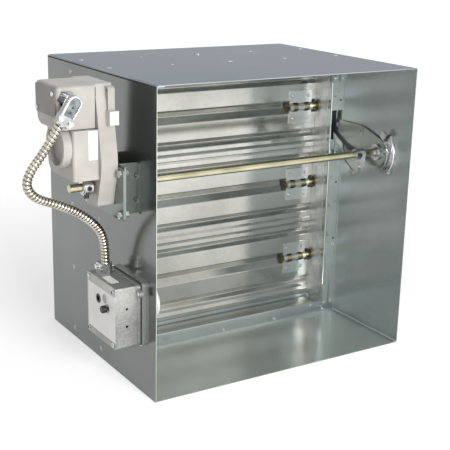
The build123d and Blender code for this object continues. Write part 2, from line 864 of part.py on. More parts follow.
with BuildPart() as hub_screws:
    with BuildSketch(Plane.XZ.offset(-jackshaft_y + shaft_radius)):
        with Locations((hub_screw_x, jackshaft_z)):
            Circle(hub_screw / 2)
    extrude(amount=hub_diameter / 2 - shaft_radius + 0.8)
    with BuildSketch(Plane.XZ.offset(-jackshaft_y + hub_diameter / 2 + 0.8)):
        with Locations((hub_screw_x, jackshaft_z)):
            RegularPolygon(hub_screw / 4, 6)
    extrude(amount=-3, mode=Mode.SUBTRACT)
    with BuildSketch(Plane.XY.offset(jackshaft_z - shaft_radius)):
        with Locations((hub_screw_x, jackshaft_y)):
            Circle(hub_screw / 2)
    extrude(amount=-(hub_diameter / 2 + 5 - shaft_radius))
    screw_seat = -jackshaft_y + shaft_radius
    with BuildSketch(Plane.XZ.offset(screw_seat)):
        with Locations((arm_x + arm_screw_diameter, jackshaft_z)):
            Circle(arm_screw_diameter / 2)
    extrude(amount=arm_hub_diameter / 2 - shaft_radius)
    with BuildSketch(Plane.XZ.offset(-jackshaft_y + arm_hub_diameter / 2)):
        with Locations((arm_x + arm_screw_diameter, jackshaft_z)):
            RegularPolygon(arm_screw_diameter * 0.9, 6)
    extrude(amount=arm_screw_diameter * 0.7)
save(hub_screws.part, "hub_screws")

# Open ring in the shaft's groove, which keeps the hub from working outward
with BuildPart() as retaining_ring:
    with BuildSketch(Plane.YZ.offset(hub_outer_x - (ring_groove_width - retaining_ring_sheet) / 2)):
        with Locations((jackshaft_y, jackshaft_z)):
            Circle(retaining_ring_diameter / 2)
            Circle(groove_radius + seat_clearance, mode=Mode.SUBTRACT)
        with Locations((jackshaft_y, jackshaft_z - retaining_ring_diameter / 2)):
            Rectangle(retaining_ring_gap, retaining_ring_diameter, mode=Mode.SUBTRACT)
    extrude(amount=-retaining_ring_sheet)
save(retaining_ring.part, "retaining_ring")


# ---------------------------------------------------------------- shaft bearings
def wall_bushing_section():
    """Half section of the flanged bushing in the left wall."""
    tail = -wall_in + wall_bushing_thickness
    head = -wall_out - wall_bushing_thickness
    return [
        (tail, axle_bore),
        (head, axle_bore),
        (head, wall_bushing_flange / 2),
        (-wall_out, wall_bushing_flange / 2),
        (-wall_out, shaft_radius + bushing_wall),
        (tail, shaft_radius + bushing_wall),
    ]


with BuildPart() as shaft_bushings:
    for height in axle_heights:
        for side in (-1, 1):
            add(turned(bushing_section(side), shaft_plane(0, frame_mid_y, height)))
    add(turned(wall_bushing_section(), shaft_plane(0, jackshaft_y, jackshaft_z)))
save(shaft_bushings.part, "shaft_bushings")

bearing_start = bracket_face_x - bearing_length
bearing_step = bracket_face_x - bearing_flange_thickness
bearing_section = [
    (bearing_start, axle_bore),
    (bracket_face_x, axle_bore),
    (bracket_face_x, bearing_flange_diameter / 2),
    (bearing_step - 1, bearing_flange_diameter / 2),
    (bearing_step - 1, bearing_flange_diameter / 2 - 1.5),
    (bearing_step, bearing_flange_diameter / 2 - 1.5),
    (bearing_step, bearing_boss_diameter / 2),
    (bearing_start, bearing_boss_diameter / 2),
]
save(turned(bearing_section, shaft_plane(0, jackshaft_y, jackshaft_z)), "jackshaft_bearing")

# The bearing bracket reaches from the jamb's front flange to the shaft, clear of the wall
bracket_bolt_heights = [jackshaft_z + 31, jackshaft_z + 3, jackshaft_z - 25]
bracket_bolt_y = (frame_front + web_front) / 2
nose_bolt = (jackshaft_y + 44, jackshaft_z + 31)
with BuildPart() as bearing_bracket:
    with BuildSketch(Plane.YZ.offset(bracket_face_x)):
        with Locations((jackshaft_y, jackshaft_z)):
            Circle(bracket_nose)
        with Locations(nose_bolt):
            Circle(bracket_ear)
        with Locations((bracket_bolt_y, jackshaft_z + (bracket_top - bracket_foot) / 2)):
            Rectangle(web_front - frame_front - 1, bracket_top + bracket_foot)
        make_hull()
        for height in bracket_bolt_heights:
            with Locations((bracket_bolt_y, height)):
                Circle(small_screw_shank / 2, mode=Mode.SUBTRACT)
        with Locations(nose_bolt):
            Circle(small_screw_shank / 2, mode=Mode.SUBTRACT)
    extrude(amount=bracket_sheet)
save(bearing_bracket.part, "bearing_bracket")

def sector(inner, outer, start, size):
    """A ring sector about the jackshaft, as a flat sketch with the air stream along its X."""
    middle = (jackshaft_y, jackshaft_z)
    with BuildSketch() as ring:
        with BuildLine():
            near = CenterArc(middle, inner, start, size)
            far = CenterArc(middle, outer, start, size)
            Line(near @ 0, far @ 0)
            Line(near @ 1, far @ 1)
        make_face()
    return ring.sketch


# Curved angle bracket bolted to the right-hand wall round the shaft's end, with a tab at its top
quadrant_start = 180 - quadrant_half_angle
quadrant_bolt_reach = (quadrant_inner + quadrant_sheet + quadrant_outer) / 2
quadrant_bolts = []
for turn in (-1, 1):
    angle = math.radians(180 + turn * (quadrant_half_angle - 5))
    bolt_y = jackshaft_y + quadrant_bolt_reach * math.cos(angle)
    bolt_z = jackshaft_z + quadrant_bolt_reach * math.sin(angle)
    quadrant_bolts.append((bolt_y, bolt_z))
with BuildPart() as stop_quadrant:
    with BuildSketch(Plane.YZ.offset(wall_in - quadrant_height)):
        leg_outer = quadrant_inner + quadrant_sheet
        add(sector(quadrant_inner, leg_outer, quadrant_start - 14, 2 * quadrant_half_angle + 14))
    extrude(amount=quadrant_height)
    with BuildSketch(Plane.YZ.offset(wall_in - quadrant_sheet)):
        add(sector(quadrant_inner, quadrant_outer, quadrant_start, 2 * quadrant_half_angle))
        for place in quadrant_bolts:
            with Locations(place):
                Circle(small_screw_shank / 2, mode=Mode.SUBTRACT)
    extrude(amount=quadrant_sheet)
    with BuildSketch(Plane.YZ.offset(wall_in - quadrant_height)):
        add(sector(quadrant_inner, quadrant_outer, quadrant_start - 14, 16))
    extrude(amount=quadrant_sheet)
save(stop_quadrant.part, "stop_quadrant")


def hex_screw(x, y, z, length, flats, height, shank):
    """A hex screw along X, its head's seat at x, head on the side away from the shank's direction."""
    direction = 1 if length > 0 else -1
    with BuildPart() as screw:
        with BuildSketch(Plane.YZ.offset(x)):
            with Locations((y, z)):
                RegularPolygon(flats / 2, 6, major_radius=False)
        extrude(amount=-direction * height)
        with BuildSketch(Plane.YZ.offset(x)):
            with Locations((y, z)):
                Circle(shank / 2)
        extrude(amount=length)
    return screw.part


with BuildPart() as mechanism_screws:
    for height in bracket_bolt_heights:
        add(hex_screw(bracket_face_x, bracket_bolt_y, height, bracket_sheet, 8, 3, small_screw_shank))
    add(hex_screw(bracket_face_x, *nose_bolt, bracket_sheet + frame_sheet, 7, 2.6, small_screw_shank))
    for place in quadrant_bolts:
        add(hex_screw(wall_in - quadrant_sheet, *place, quadrant_sheet, 8, 3.2, small_screw_shank))
save(mechanism_screws.part, "mechanism_screws")


# ---------------------------------------------------------------- actuator stand-off
def channel(web_y, outward):
    """Corners of a channel that holds the actuator's plate off the wall; its flanges point outward."""
    reach_wall = web_y + outward * channel_wall_flange
    reach_outer = web_y + outward * channel_outer_flange
    web_back = web_y - outward * channel_sheet
    return [
        (-wall_out, web_back),
        (-wall_out, reach_wall),
        (-wall_out - channel_sheet, reach_wall),
        (-wall_out - channel_sheet, web_y),
        (channel_face_x + channel_sheet, web_y),
        (channel_face_x + channel_sheet, reach_outer),
        (channel_face_x, reach_outer),
        (channel_face_x, web_back),
    ]


front_bolt_y = channel_front_web_y - channel_bolt_reach
rear_bolt_y = channel_rear_web_y + channel_bolt_reach
plate_bolts = [
    (front_bolt_y, plate_bottom + plate_bolt_inset),
    (front_bolt_y, plate_top - plate_bolt_inset),
    (rear_bolt_y, plate_bottom + plate_bolt_inset),
    (rear_bolt_y, jackshaft_z),
]
channel_middle_z = channel_bottom + channel_height / 2
channel_screws = [
    (y, channel_middle_z + side * channel_screw_pitch / 2)
    for y in (channel_front_web_y - channel_wall_flange / 2, channel_rear_web_y + channel_wall_flange / 2)
    for side in (-1, 1)
]
with BuildPart() as actuator_channels:
    with BuildSketch(Plane.XY.offset(channel_bottom)):
        for web_y, outward in ((channel_front_web_y, -1), (channel_rear_web_y, 1)):
            with BuildLine():
                Polyline(*channel(web_y, outward), close=True)
            make_face()
    extrude(amount=channel_height)
    with BuildSketch(Plane.YZ.offset(channel_face_x)):
        for place in plate_bolts:
            with Locations(place):
                Circle(bolt_shank / 2)
    extrude(amount=channel_sheet, mode=Mode.SUBTRACT)
    with BuildSketch(Plane.YZ.offset(-wall_out)):
        for place in channel_screws:
            with Locations(place):
                Circle(small_screw_shank / 2)
    extrude(amount=-channel_sheet, mode=Mode.SUBTRACT)
save(actuator_channels.part, "actuator_channels")

with BuildPart() as actuator_plate:
    with BuildSketch(Plane.YZ.offset(channel_face_x)):
        plate_front = channel_front_web_y - channel_outer_flange - 1
        plate_rear = channel_rear_web_y + channel_outer_flange + 1
        with Locations(((plate_front + plate_rear) / 2, (plate_bottom + plate_top) / 2)):
            RectangleRounded(plate_rear - plate_front, plate_top - plate_bottom, 4)
        for place in plate_bolts:
            with Locations(place):
                Circle(bolt_shank / 2, mode=Mode.SUBTRACT)
        with Locations((jackshaft_y, jackshaft_z)):
            Circle(shaft_radius + bushing_flange, mode=Mode.SUBTRACT)
    extrude(amount=-plate_sheet)
save(actuator_plate.part, "actuator_plate")

with BuildPart() as actuator_bolts:
    grip = plate_sheet + channel_sheet
    for y, z in plate_bolts:
        add(hex_screw(plate_face_x, y, z, grip, bolt_head_flats, bolt_head_height, bolt_shank))
        with BuildSketch(Plane.YZ.offset(plate_face_x + grip)):
            with Locations((y, z)):
                RegularPolygon(bolt_head_flats / 2, 6, major_radius=False)
        extrude(amount=nut_height)
    for y, z in channel_screws:
        add(hex_screw(-wall_out - channel_sheet, y, z, channel_sheet, 7, 2.4, small_screw_shank))
save(actuator_bolts.part, "actuator_bolts")

# ---------------------------------------------------------------- actuator castings
# Gear case: a tall flat casting whose foot narrows to the shaft's boss
with BuildPart() as gear_case:
    with BuildSketch(Plane.YZ.offset(plate_face_x)):
        with BuildLine():
            shoulder = (case_front_y + 3, drum_z)
            knee = (case_front_y + 7, drum_z - 59)
            Polyline((motor_rear_y + 6, actuator_top), (motor_front_y + 3, actuator_top), shoulder)
            ThreePointArc(shoulder, (case_front_y, drum_z - 29), knee)
            FilletPolyline(
                knee,
                (jackshaft_y - 15, actuator_foot + 4),
                (jackshaft_y + 24, actuator_foot),
                (jackshaft_y + 22, housing_bottom - 3),
                (housing_rear_y + 6, housing_bottom),
                (housing_rear_y + 12, housing_bottom + 16),
                (motor_rear_y + 6, actuator_top),
                radius=cast_fillet,
            )
        make_face()
        with Locations((jackshaft_y, jackshaft_z)):
            Circle(shaft_radius + 1, mode=Mode.SUBTRACT)
    extrude(amount=-gear_case_thickness)
    with BuildSketch(Plane.YZ.offset(plate_face_x)):
        with Locations((lug_y, lug_z), (lug_y, lug_z - lug_length)):
            Circle(lug_radius)
        make_hull()
    extrude(amount=-lug_width)
    with BuildSketch(Plane.YZ.offset(plate_face_x)):
        with Locations((lug_y, lug_z)):
            Circle(lug_hole / 2)
    extrude(amount=-lug_width, mode=Mode.SUBTRACT)
save(gear_case.part, "gear_case")

# Spring housing: the middle casting, hollow towards the gear case
chamber_depth = spring_housing_thickness - cast_wall
with BuildPart() as spring_housing:
    with BuildSketch(Plane.YZ.offset(case_face_x)):
        with BuildLine():
            FilletPolyline(
                (housing_rear_y, housing_split),
                (housing_rear_y, housing_bottom),
                (housing_front_y, housing_bottom),
                radius=housing_corner,
            )
            Polyline(
                (housing_front_y, housing_bottom),
                (housing_front_y, housing_split),
                (housing_rear_y, housing_split),
            )
        make_face()
    extrude(amount=-spring_housing_thickness)
    front_edges = spring_housing.edges().filter_by(Axis.Z).group_by(Axis.Y)[0]
    fillet(front_edges.sort_by(Axis.X)[0], cast_fillet)
    with BuildSketch(Plane.YZ.offset(case_face_x)):
        with Locations((drum_y, spring_z)):
            Circle(spring_radius + 1)
    extrude(amount=-chamber_depth, mode=Mode.SUBTRACT)
save(spring_housing.part, "spring_housing")

# Drum on the housing's face: a shallow ringed dish, cut straight where it meets the motor cover
with BuildPart() as spring_drum:
    with BuildSketch(Plane.YZ.offset(housing_face_x)):
        with Locations((drum_y, drum_z)):
            Circle(drum_radius)
        with Locations((drum_y, housing_split + drum_radius)):
            Rectangle(3 * drum_radius, 2 * drum_radius, mode=Mode.SUBTRACT)
    extrude(amount=-drum_rim_height)
    with BuildSketch(Plane.YZ.offset(drum_face_x)):
        with Locations((drum_y, drum_z)):
            Circle(drum_radius - drum_wall)
        with Locations((drum_y, housing_split + drum_radius - drum_wall)):
            Rectangle(3 * drum_radius, 2 * drum_radius, mode=Mode.SUBTRACT)
    extrude(amount=drum_recess, mode=Mode.SUBTRACT)
save(spring_drum.part, "spring_drum")

# Return spring: a clock spring wound tight, drawn as the ring its turns fill
with BuildPart() as return_spring:
    with BuildSketch(Plane.YZ.offset(case_face_x)):
        with Locations((drum_y, spring_z)):
            Circle(spring_radius)
            Circle(spring_core, mode=Mode.SUBTRACT)
    extrude(amount=-spring_width)
save(return_spring.part, "return_spring")

# Motor cover: the box casting on top, rounded at its lower rear corner and open on its outer face
with BuildPart() as motor_cover:
    with BuildSketch(Plane.YZ.offset(case_face_x)):
        with BuildLine():
            FilletPolyline(
                (motor_rear_y, actuator_top),
                (motor_rear_y, housing_split),
                (motor_front_y, housing_split),
                radius=housing_corner * 0.8,
            )
            Polyline(
                (motor_front_y, housing_split),
                (motor_front_y, actuator_top),
                (motor_rear_y, actuator_top),
            )
        make_face()
    extrude(amount=-motor_cover_depth)
    top_edges = motor_cover.faces().sort_by(Axis.Z)[-1].edges().sort_by(Axis.X)[:-1]
    corner_edges = motor_cover.edges().filter_by(Axis.Z).sort_by(Axis.X)[:2]
    fillet(top_edges + corner_edges, cast_fillet)
    with BuildSketch(Plane.YZ.offset(motor_face_x)):
        with Locations(((motor_front_y + motor_rear_y) / 2, (cover_plate_bottom + actuator_top) / 2)):
            Rectangle(
                motor_rear_y - motor_front_y - 4 * cast_fillet,
                actuator_top - cover_plate_bottom - 3 * cast_fillet,
            )
        for place in cover_screws:
            with Locations(place):
                Circle(small_screw_shank / 2)
    extrude(amount=motor_cover_depth - cast_wall, mode=Mode.SUBTRACT)
save(motor_cover.part, "motor_cover")

with BuildPart() as drive_motor:
    with BuildSketch(Plane.YZ.offset(case_face_x - cast_wall)):
        with Locations(((motor_front_y + motor_rear_y) / 2, (cover_plate_bottom + actuator_top) / 2)):
            Circle(motor_diameter / 2)
    extrude(amount=-motor_length)
save(drive_motor.part, "drive_motor")

with BuildPart() as cover_plate:
    with BuildSketch(Plane.YZ.offset(motor_face_x)):
        with Locations(
            ((motor_front_y + motor_rear_y) / 2, (cover_plate_bottom + actuator_top - cast_fillet + 2) / 2)
        ):
            RectangleRounded(
                motor_rear_y - motor_front_y - 2 * cast_fillet + 4,
                actuator_top - cast_fillet + 2 - cover_plate_bottom,
                cast_fillet - 1,
            )
        for place in cover_screws:
            with Locations(place):
                Circle(small_screw_shank / 2, mode=Mode.SUBTRACT)
    extrude(amount=-cover_plate_sheet)
save(cover_plate.part, "cover_plate")


def pan_screw(x, y, z, length, shank, head):
    """A round-headed screw along X, its head's seat at x and its head on the -X side."""
    with BuildPart() as screw:
        with BuildSketch(Plane.YZ.offset(x)):
            with Locations((y, z)):
                Circle(head / 2)
        extrude(amount=-small_screw_height)
        chamfer(screw.faces().sort_by(Axis.X)[0].edges(), small_screw_height * 0.35)
        with BuildSketch(Plane.YZ.offset(x)):
            with Locations((y, z)):
                Circle(shank / 2)
        extrude(amount=length)
    return screw.part


# Clip: a strip bent round the gear case's lug
with BuildPart() as actuator_clip:
    with BuildSketch(Plane.XY.offset(clip_bottom)):
        inner_x = plate_face_x - lug_width
        with BuildLine():
            Polyline(
                (plate_face_x, lug_y),
                (plate_face_x + clip_sheet, lug_y),
                (plate_face_x + clip_sheet, clip_front_y),
                (inner_x - clip_sheet, clip_front_y),
                (inner_x - clip_sheet, lug_y),
                (inner_x, lug_y),
                (inner_x, clip_front_y + clip_sheet),
                (plate_face_x, clip_front_y + clip_sheet),
                close=True,
            )
        make_face()
    extrude(amount=clip_rise)
    add(gear_case.part, mode=Mode.SUBTRACT)
save(actuator_clip.part, "actuator_clip")

# ---------------------------------------------------------------- conduit and its connectors
elbow_y = motor_front_y - elbow_stand
elbow_knuckle = Vector(elbow_x, elbow_y, elbow_z)
conduit_points = [(-wall_out - off, behind - half_depth, height) for off, behind, height in conduit_route]
outlet = Plane(
    origin=elbow_knuckle,
    x_dir=(0, -1, 0),
    z_dir=Vector(*conduit_points[1]) - elbow_knuckle,
)
box_end = Plane(
    origin=conduit_points[-1],
    z_dir=Vector(*conduit_points[-2]) - Vector(*conduit_points[-1]),
)
conduit_fit = conduit_diameter / 2 + seat_clearance
with BuildPart() as elbow_connector:
    with BuildSketch(Plane.XZ.offset(-motor_front_y)):
        with Locations((elbow_x, elbow_z)):
            RegularPolygon(locknut_flats / 2, 6, major_radius=False)
    extrude(amount=locknut_height)
    with BuildSketch(Plane.XZ.offset(-motor_front_y)):
        with Locations((elbow_x, elbow_z)):
            Circle(elbow_diameter / 2 - 1.5)
    extrude(amount=elbow_stand)
    with Locations((elbow_x, elbow_y, elbow_z)):
        Sphere(elbow_diameter / 2)
    with BuildSketch(outlet):
        Circle(elbow_diameter / 2)
    extrude(amount=elbow_reach)
    with BuildSketch(outlet.offset(elbow_reach - clamp_length - 2)):
        with Locations((elbow_diameter / 4, 0)):
            Rectangle(elbow_diameter / 2 + 3, clamp_width)
    extrude(amount=clamp_length)
    with BuildSketch(outlet.offset(elbow_reach)):
        Circle(conduit_fit)
    extrude(amount=-clamp_length - 5, mode=Mode.SUBTRACT)
save(elbow_connector.part, "elbow_connector")

with BuildPart() as fitting_screws:
    for y, z in cover_screws:
        grip = cover_plate_sheet + 8
        add(pan_screw(motor_face_x - cover_plate_sheet, y, z, grip, small_screw_shank, small_screw_head))
    clamp_face = elbow_diameter / 2 + 1.5
    for place in (-clamp_width / 2 + 3.5, clamp_width / 2 - 3.5):
        start = Plane(
            origin=outlet.from_local_coords((clamp_face, place, elbow_reach - clamp_length / 2 - 2)),
            z_dir=outlet.x_dir,
        )
        with BuildSketch(start):
            Circle(small_screw_head / 2)
        extrude(amount=small_screw_height)
    for place in (-clamp_width / 2 + 3.5, clamp_width / 2 - 3.5):
        screw_x = connector_x - connector_diameter / 2 - 1.5
        clamp_middle = (screw_x, connector_y + place, box_top + connector_height / 2)
        start = Plane(origin=clamp_middle, z_dir=(-1, 0, 0))
        with BuildSketch(start):
            Circle(small_screw_head / 2)
        extrude(amount=small_screw_height)
save(fitting_screws.part, "fitting_screws")

with BuildPart() as box_connector:
    with BuildSketch(Plane.XY.offset(box_top)):
        with Locations((connector_x, connector_y)):
            RegularPolygon(locknut_flats / 2, 6, major_radius=False, rotation=30)
    extrude(amount=locknut_height)
    with BuildSketch(Plane.XY.offset(box_top)):
        with Locations((connector_x, connector_y)):
            Circle(connector_diameter / 2)
        with Locations((connector_x - connector_diameter / 4, connector_y)):
            Rectangle(connector_diameter / 2 + 3, clamp_width)
    extrude(amount=connector_height)
    with BuildSketch(box_end):
        Circle(conduit_fit)
    extrude(amount=connector_height, mode=Mode.SUBTRACT)
save(box_connector.part, "box_connector")


def bend_radii(route):
    """Largest tidy radius at each bend: 0.45 of the shorter run over the tangent of half the turn."""
    radii = []
    for before, here, after in zip(route, route[1:], route[2:]):
        run_in = Vector(*here) - Vector(*before)
        run_out = Vector(*after) - Vector(*here)
        half_turn = math.radians(run_in.get_angle(run_out) / 2)
        radii.append(0.45 * min(run_in.length, run_out.length) / math.tan(half_turn))
    return radii


conduit_radii = bend_radii(conduit_points)
with BuildPart() as flexible_conduit:
    with BuildLine() as conduit_path:
        FilletPolyline(*conduit_points, radius=conduit_radii)
    with BuildSketch(Plane(origin=conduit_points[0], z_dir=conduit_path.line % 0)):
        Circle(conduit_diameter / 2)
    sweep()
save(flexible_conduit.part, "flexible_conduit")
section_area = math.pi * conduit_diameter**2 / 4
print("conduit bend radii", [round(radius, 1) for radius in conduit_radii])
print("conduit length", round(sum(edge.length for edge in conduit_path.edges()), 1))
print("conduit volume over section", round(flexible_conduit.part.volume / section_area, 1))


# ---------------------------------------------------------------- control box on the left wall
def rounded_square(x, size, thickness, corner, hole):
    """A square plate with rounded corners and a round hole, its back on x, growing away from the wall."""
    with BuildPart() as plate:
        with BuildSketch(Plane.YZ.offset(x)):
            with Locations((box_y, box_z)):
                RectangleRounded(size, size, corner)
                Circle(hole / 2, mode=Mode.SUBTRACT)
        extrude(amount=-thickness)
    return plate.part


save(rounded_square(-wall_out, box_size + 6, box_plate_sheet, box_corner, sensor_diameter), "box_plate")
gasket_back_x = -wall_out - box_plate_sheet
save(rounded_square(gasket_back_x, box_size + 3, gasket_sheet, box_corner, sensor_diameter), "box_gasket")

ear_places = [
    (box_y - box_size / 2 - ear_reach, box_z + box_size / 2 - ear_width),
    (box_y + box_size / 2 + ear_reach, box_z - box_size / 2 + ear_width),
]
cover_screw_places = [
    (box_y + y * (box_size / 2 - cover_screw_inset), box_z + z * (box_size / 2 - cover_screw_inset))
    for y in (-1, 1)
    for z in (-1, 1)
]
with BuildPart() as control_box:
    with BuildSketch(Plane.YZ.offset(box_back_x)):
        with Locations((box_y, box_z)):
            RectangleRounded(box_size + 2, box_size + 2, box_corner)
        with Locations(*ear_places):
            Circle(ear_width / 2)
    extrude(amount=-box_flange_height)
    with BuildSketch(Plane.YZ.offset(box_back_x)):
        with Locations((box_y, box_z)):
            RectangleRounded(box_size, box_size, box_corner / 2)
    extrude(amount=-box_depth)
    with BuildSketch(Plane.YZ.offset(box_back_x - box_sheet)):
        with Locations((box_y, box_z)):
            RectangleRounded(box_size - 2 * box_sheet, box_size - 2 * box_sheet, box_corner / 2 - 1)
    extrude(amount=-box_depth, mode=Mode.SUBTRACT)
    with BuildSketch(Plane.YZ.offset(box_front_x)):
        with Locations(*cover_screw_places):
            Circle(screw_post / 2)
    extrude(amount=box_depth)
    with BuildSketch(Plane.YZ.offset(box_front_x)):
        with Locations(*cover_screw_places):
            Circle(small_screw_shank / 2)
    extrude(amount=screw_grip, mode=Mode.SUBTRACT)
    with BuildSketch(Plane.YZ.offset(box_back_x)):
        with Locations((box_y, box_z)):
            Circle(sensor_stem / 2)
        with Locations(*ear_places):
            Circle(small_screw_shank / 2)
    extrude(amount=-box_flange_height, mode=Mode.SUBTRACT)
    with BuildSketch(Plane.XZ.offset(-box_y + box_size / 2)):
        for end in (-1, 1):
            with Locations((box_front_x + side_hole_inset, box_z + end * side_hole_pitch / 2)):
                Circle(side_hole / 2)
    extrude(amount=-box_sheet, mode=Mode.SUBTRACT)
save(control_box.part, "control_box")

with BuildPart() as box_cover:
    with BuildSketch(Plane.YZ.offset(box_front_x)):
        with Locations((box_y, box_z)):
            RectangleRounded(box_size, box_size, box_corner / 2)
        with Locations(*cover_screw_places):
            Circle(small_screw_shank / 2, mode=Mode.SUBTRACT)
        with Locations((knob_y, knob_z)):
            Circle(knob_stem / 2 + 2 * seat_clearance, mode=Mode.SUBTRACT)
        with Locations((test_socket_y, test_socket_z)):
            Circle(test_socket_diameter / 2, mode=Mode.SUBTRACT)
        with Locations((lamp_y, lamp_z)):
            Circle(lamp_diameter / 2 - 2, mode=Mode.SUBTRACT)
    extrude(amount=-box_cover_sheet)
save(box_cover.part, "box_cover")

with BuildPart() as box_screws:
    for y, z in cover_screw_places:
        grip = box_cover_sheet + screw_grip - 2
        add(pan_screw(cover_face_x, y, z, grip, small_screw_shank, small_screw_head))
    for y, z in ear_places:
        ear_face_x = box_back_x - box_flange_height
        add(pan_screw(ear_face_x, y, z, box_flange_height, small_screw_shank, small_screw_head))
save(box_screws.part, "box_screws")

with BuildPart() as switch_body:
    with BuildSketch(Plane.YZ.offset(box_front_x)):
        with Locations((knob_y, knob_z)):
            Rectangle(switch_width, switch_size)
    extrude(amount=switch_depth)
    with BuildSketch(Plane.YZ.offset(box_front_x)):
        with Locations((knob_y, knob_z)):
            Circle(knob_stem / 2 + 2 * seat_clearance)
    extrude(amount=knob_bore, mode=Mode.SUBTRACT)
save(switch_body.part, "switch_body")
with BuildPart() as reset_button:
    with BuildSketch(Plane.YZ.offset(knob_back_x)):
        with Locations((knob_y, knob_z)):
            Circle(knob_diameter / 2)
    extrude(amount=-knob_height)
    chamfer(reset_button.faces().sort_by(Axis.X)[0].edges(), 1.2)
    with BuildSketch(Plane.YZ.offset(knob_back_x)):
        with Locations((knob_y, knob_z)):
            Circle(knob_stem / 2)
    extrude(amount=box_front_x + knob_bore - knob_travel - layer_gap - knob_back_x)
save(reset_button.part, "reset_button")

test_section = [
    (box_front_x + socket_depth, 0),
    (box_front_x + socket_depth, test_socket_diameter / 2),
    (cover_face_x, test_socket_diameter / 2),
    (cover_face_x, test_socket_diameter / 2 + 1.5),
    (cover_face_x - 1, test_socket_diameter / 2 + 1.5),
    (cover_face_x - 1, test_socket_diameter / 2 - 1.5),
    (box_front_x + socket_depth - 2, test_socket_diameter / 2 - 1.5),
    (box_front_x + socket_depth - 2, 0),
]
save(turned(test_section, shaft_plane(0, test_socket_y, test_socket_z)), "test_socket")

lamp_section = [
    (box_front_x + 4, 0),
    (box_front_x + 4, lamp_diameter / 2 - 2),
    (cover_face_x, lamp_diameter / 2 - 2),
    (cover_face_x, lamp_diameter / 2),
    (cover_face_x - 1.2, lamp_diameter / 2 - 0.6),
    (cover_face_x - 1.8, 0),
]
save(turned(lamp_section, shaft_plane(0, lamp_y, lamp_z)), "indicator_lens")

# ---------------------------------------------------------------- heat sensor inside the duct
cup_section = [
    (-wall_in, cup_diameter / 2),
    (-wall_in + 1, cup_diameter / 2),
    (-wall_in + 1, cup_diameter / 2 - cup_flange),
    (-wall_in + cup_height - cup_shoulder, cup_diameter / 2 - cup_flange),
    (-wall_in + cup_height, cup_diameter / 2 - cup_flange - cup_shoulder),
    (-wall_in + cup_height, 0),
    (-wall_in + cup_height - cup_wall, 0),
    (-wall_in + cup_height - cup_wall, cup_diameter / 2 - cup_flange - cup_shoulder),
    (-wall_in + cup_height - cup_shoulder, cup_diameter / 2 - cup_flange - cup_wall),
    (-wall_in, cup_diameter / 2 - cup_flange - cup_wall),
]
save(turned(cup_section, shaft_plane(0, box_y, box_z)), "sensor_cup")

sensor_section = [
    (box_back_x - box_sheet, 0),
    (box_back_x - box_sheet, sensor_stem / 2 + 3),
    (box_back_x - box_sheet - 3, sensor_stem / 2 + 3),
    (box_back_x - box_sheet - 3, 0),
]
stem_section = [
    (box_back_x - box_sheet, 0),
    (box_back_x - box_sheet, sensor_stem / 2),
    (-wall_in + cup_height - cup_wall - 12, sensor_stem / 2),
    (-wall_in + cup_height - cup_wall - 12, sensor_disc / 2),
    (-wall_in + cup_height - cup_wall - 5, sensor_disc / 2),
    (-wall_in + cup_height - cup_wall - 5, 0),
]
with BuildPart() as heat_sensor:
    add(turned(sensor_section, shaft_plane(0, box_y, box_z)))
    add(turned(stem_section, shaft_plane(0, box_y, box_z)))
save(heat_sensor.part, "heat_sensor")
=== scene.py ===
"""Looks for a motor-driven volume control damper in a galvanised sleeve.

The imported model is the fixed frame. This script gives each of its nodes a finish, lays the flexible
conduit, and adds the small hardware and bare plates that the solids leave out. All sizes are metres.
"""
from __future__ import annotations

import logging
import math
from dataclasses import dataclass, field
from enum import Enum
from functools import cache
from itertools import product
from typing import Callable

import bpy
from mathutils import Matrix, Vector


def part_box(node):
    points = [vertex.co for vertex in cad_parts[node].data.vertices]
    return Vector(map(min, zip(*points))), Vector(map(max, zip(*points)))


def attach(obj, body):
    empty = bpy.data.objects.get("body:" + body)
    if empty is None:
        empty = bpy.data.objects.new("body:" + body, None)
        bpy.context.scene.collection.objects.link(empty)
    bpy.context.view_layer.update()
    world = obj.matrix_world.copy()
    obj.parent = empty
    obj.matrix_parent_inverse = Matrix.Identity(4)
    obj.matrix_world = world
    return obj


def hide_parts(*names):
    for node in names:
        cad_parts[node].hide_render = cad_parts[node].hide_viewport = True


LOG = logging.getLogger("damper")
MM = 0.001
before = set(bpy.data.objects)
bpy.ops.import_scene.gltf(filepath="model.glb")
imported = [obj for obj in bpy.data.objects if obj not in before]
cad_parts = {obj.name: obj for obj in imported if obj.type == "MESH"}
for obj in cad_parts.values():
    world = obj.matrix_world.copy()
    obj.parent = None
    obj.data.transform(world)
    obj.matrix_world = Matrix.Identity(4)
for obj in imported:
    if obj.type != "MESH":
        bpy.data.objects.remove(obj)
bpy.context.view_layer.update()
BLADES = (1, 2, 3)
SMOOTH_BELOW = math.radians(40)

Point = tuple[float, float, float]
Pair = tuple[float, float]
Piece = bpy.types.Object
Material = bpy.types.Material
Tree = bpy.types.NodeTree
Socket = bpy.types.NodeSocket
TO_LEFT: Point = (-1, 0, 0)
TO_RIGHT: Point = (1, 0, 0)
TO_FRONT: Point = (0, -1, 0)
UP: Point = (0, 0, 1)


class Slot(Enum):
    """The record's material slots; no piece here takes its finish from them."""

    GALVANISED = "galvanised"
    FRAME_STEEL = "frame_steel"
    CLEAR_ZINC = "clear_zinc"
    BLACK_PLASTIC = "black_plastic"
    CHROME = "chrome"
    CONDUIT = "conduit_steel"
    CLIP = "clip_plastic"
    GASKET = "gasket_rubber"


class Body(Enum):
    """The rigid bodies that new pieces ride on."""

    SLEEVE = "sleeve_body"
    BLADE_1 = "blade_1_body"
    BLADE_2 = "blade_2_body"
    BLADE_3 = "blade_3_body"


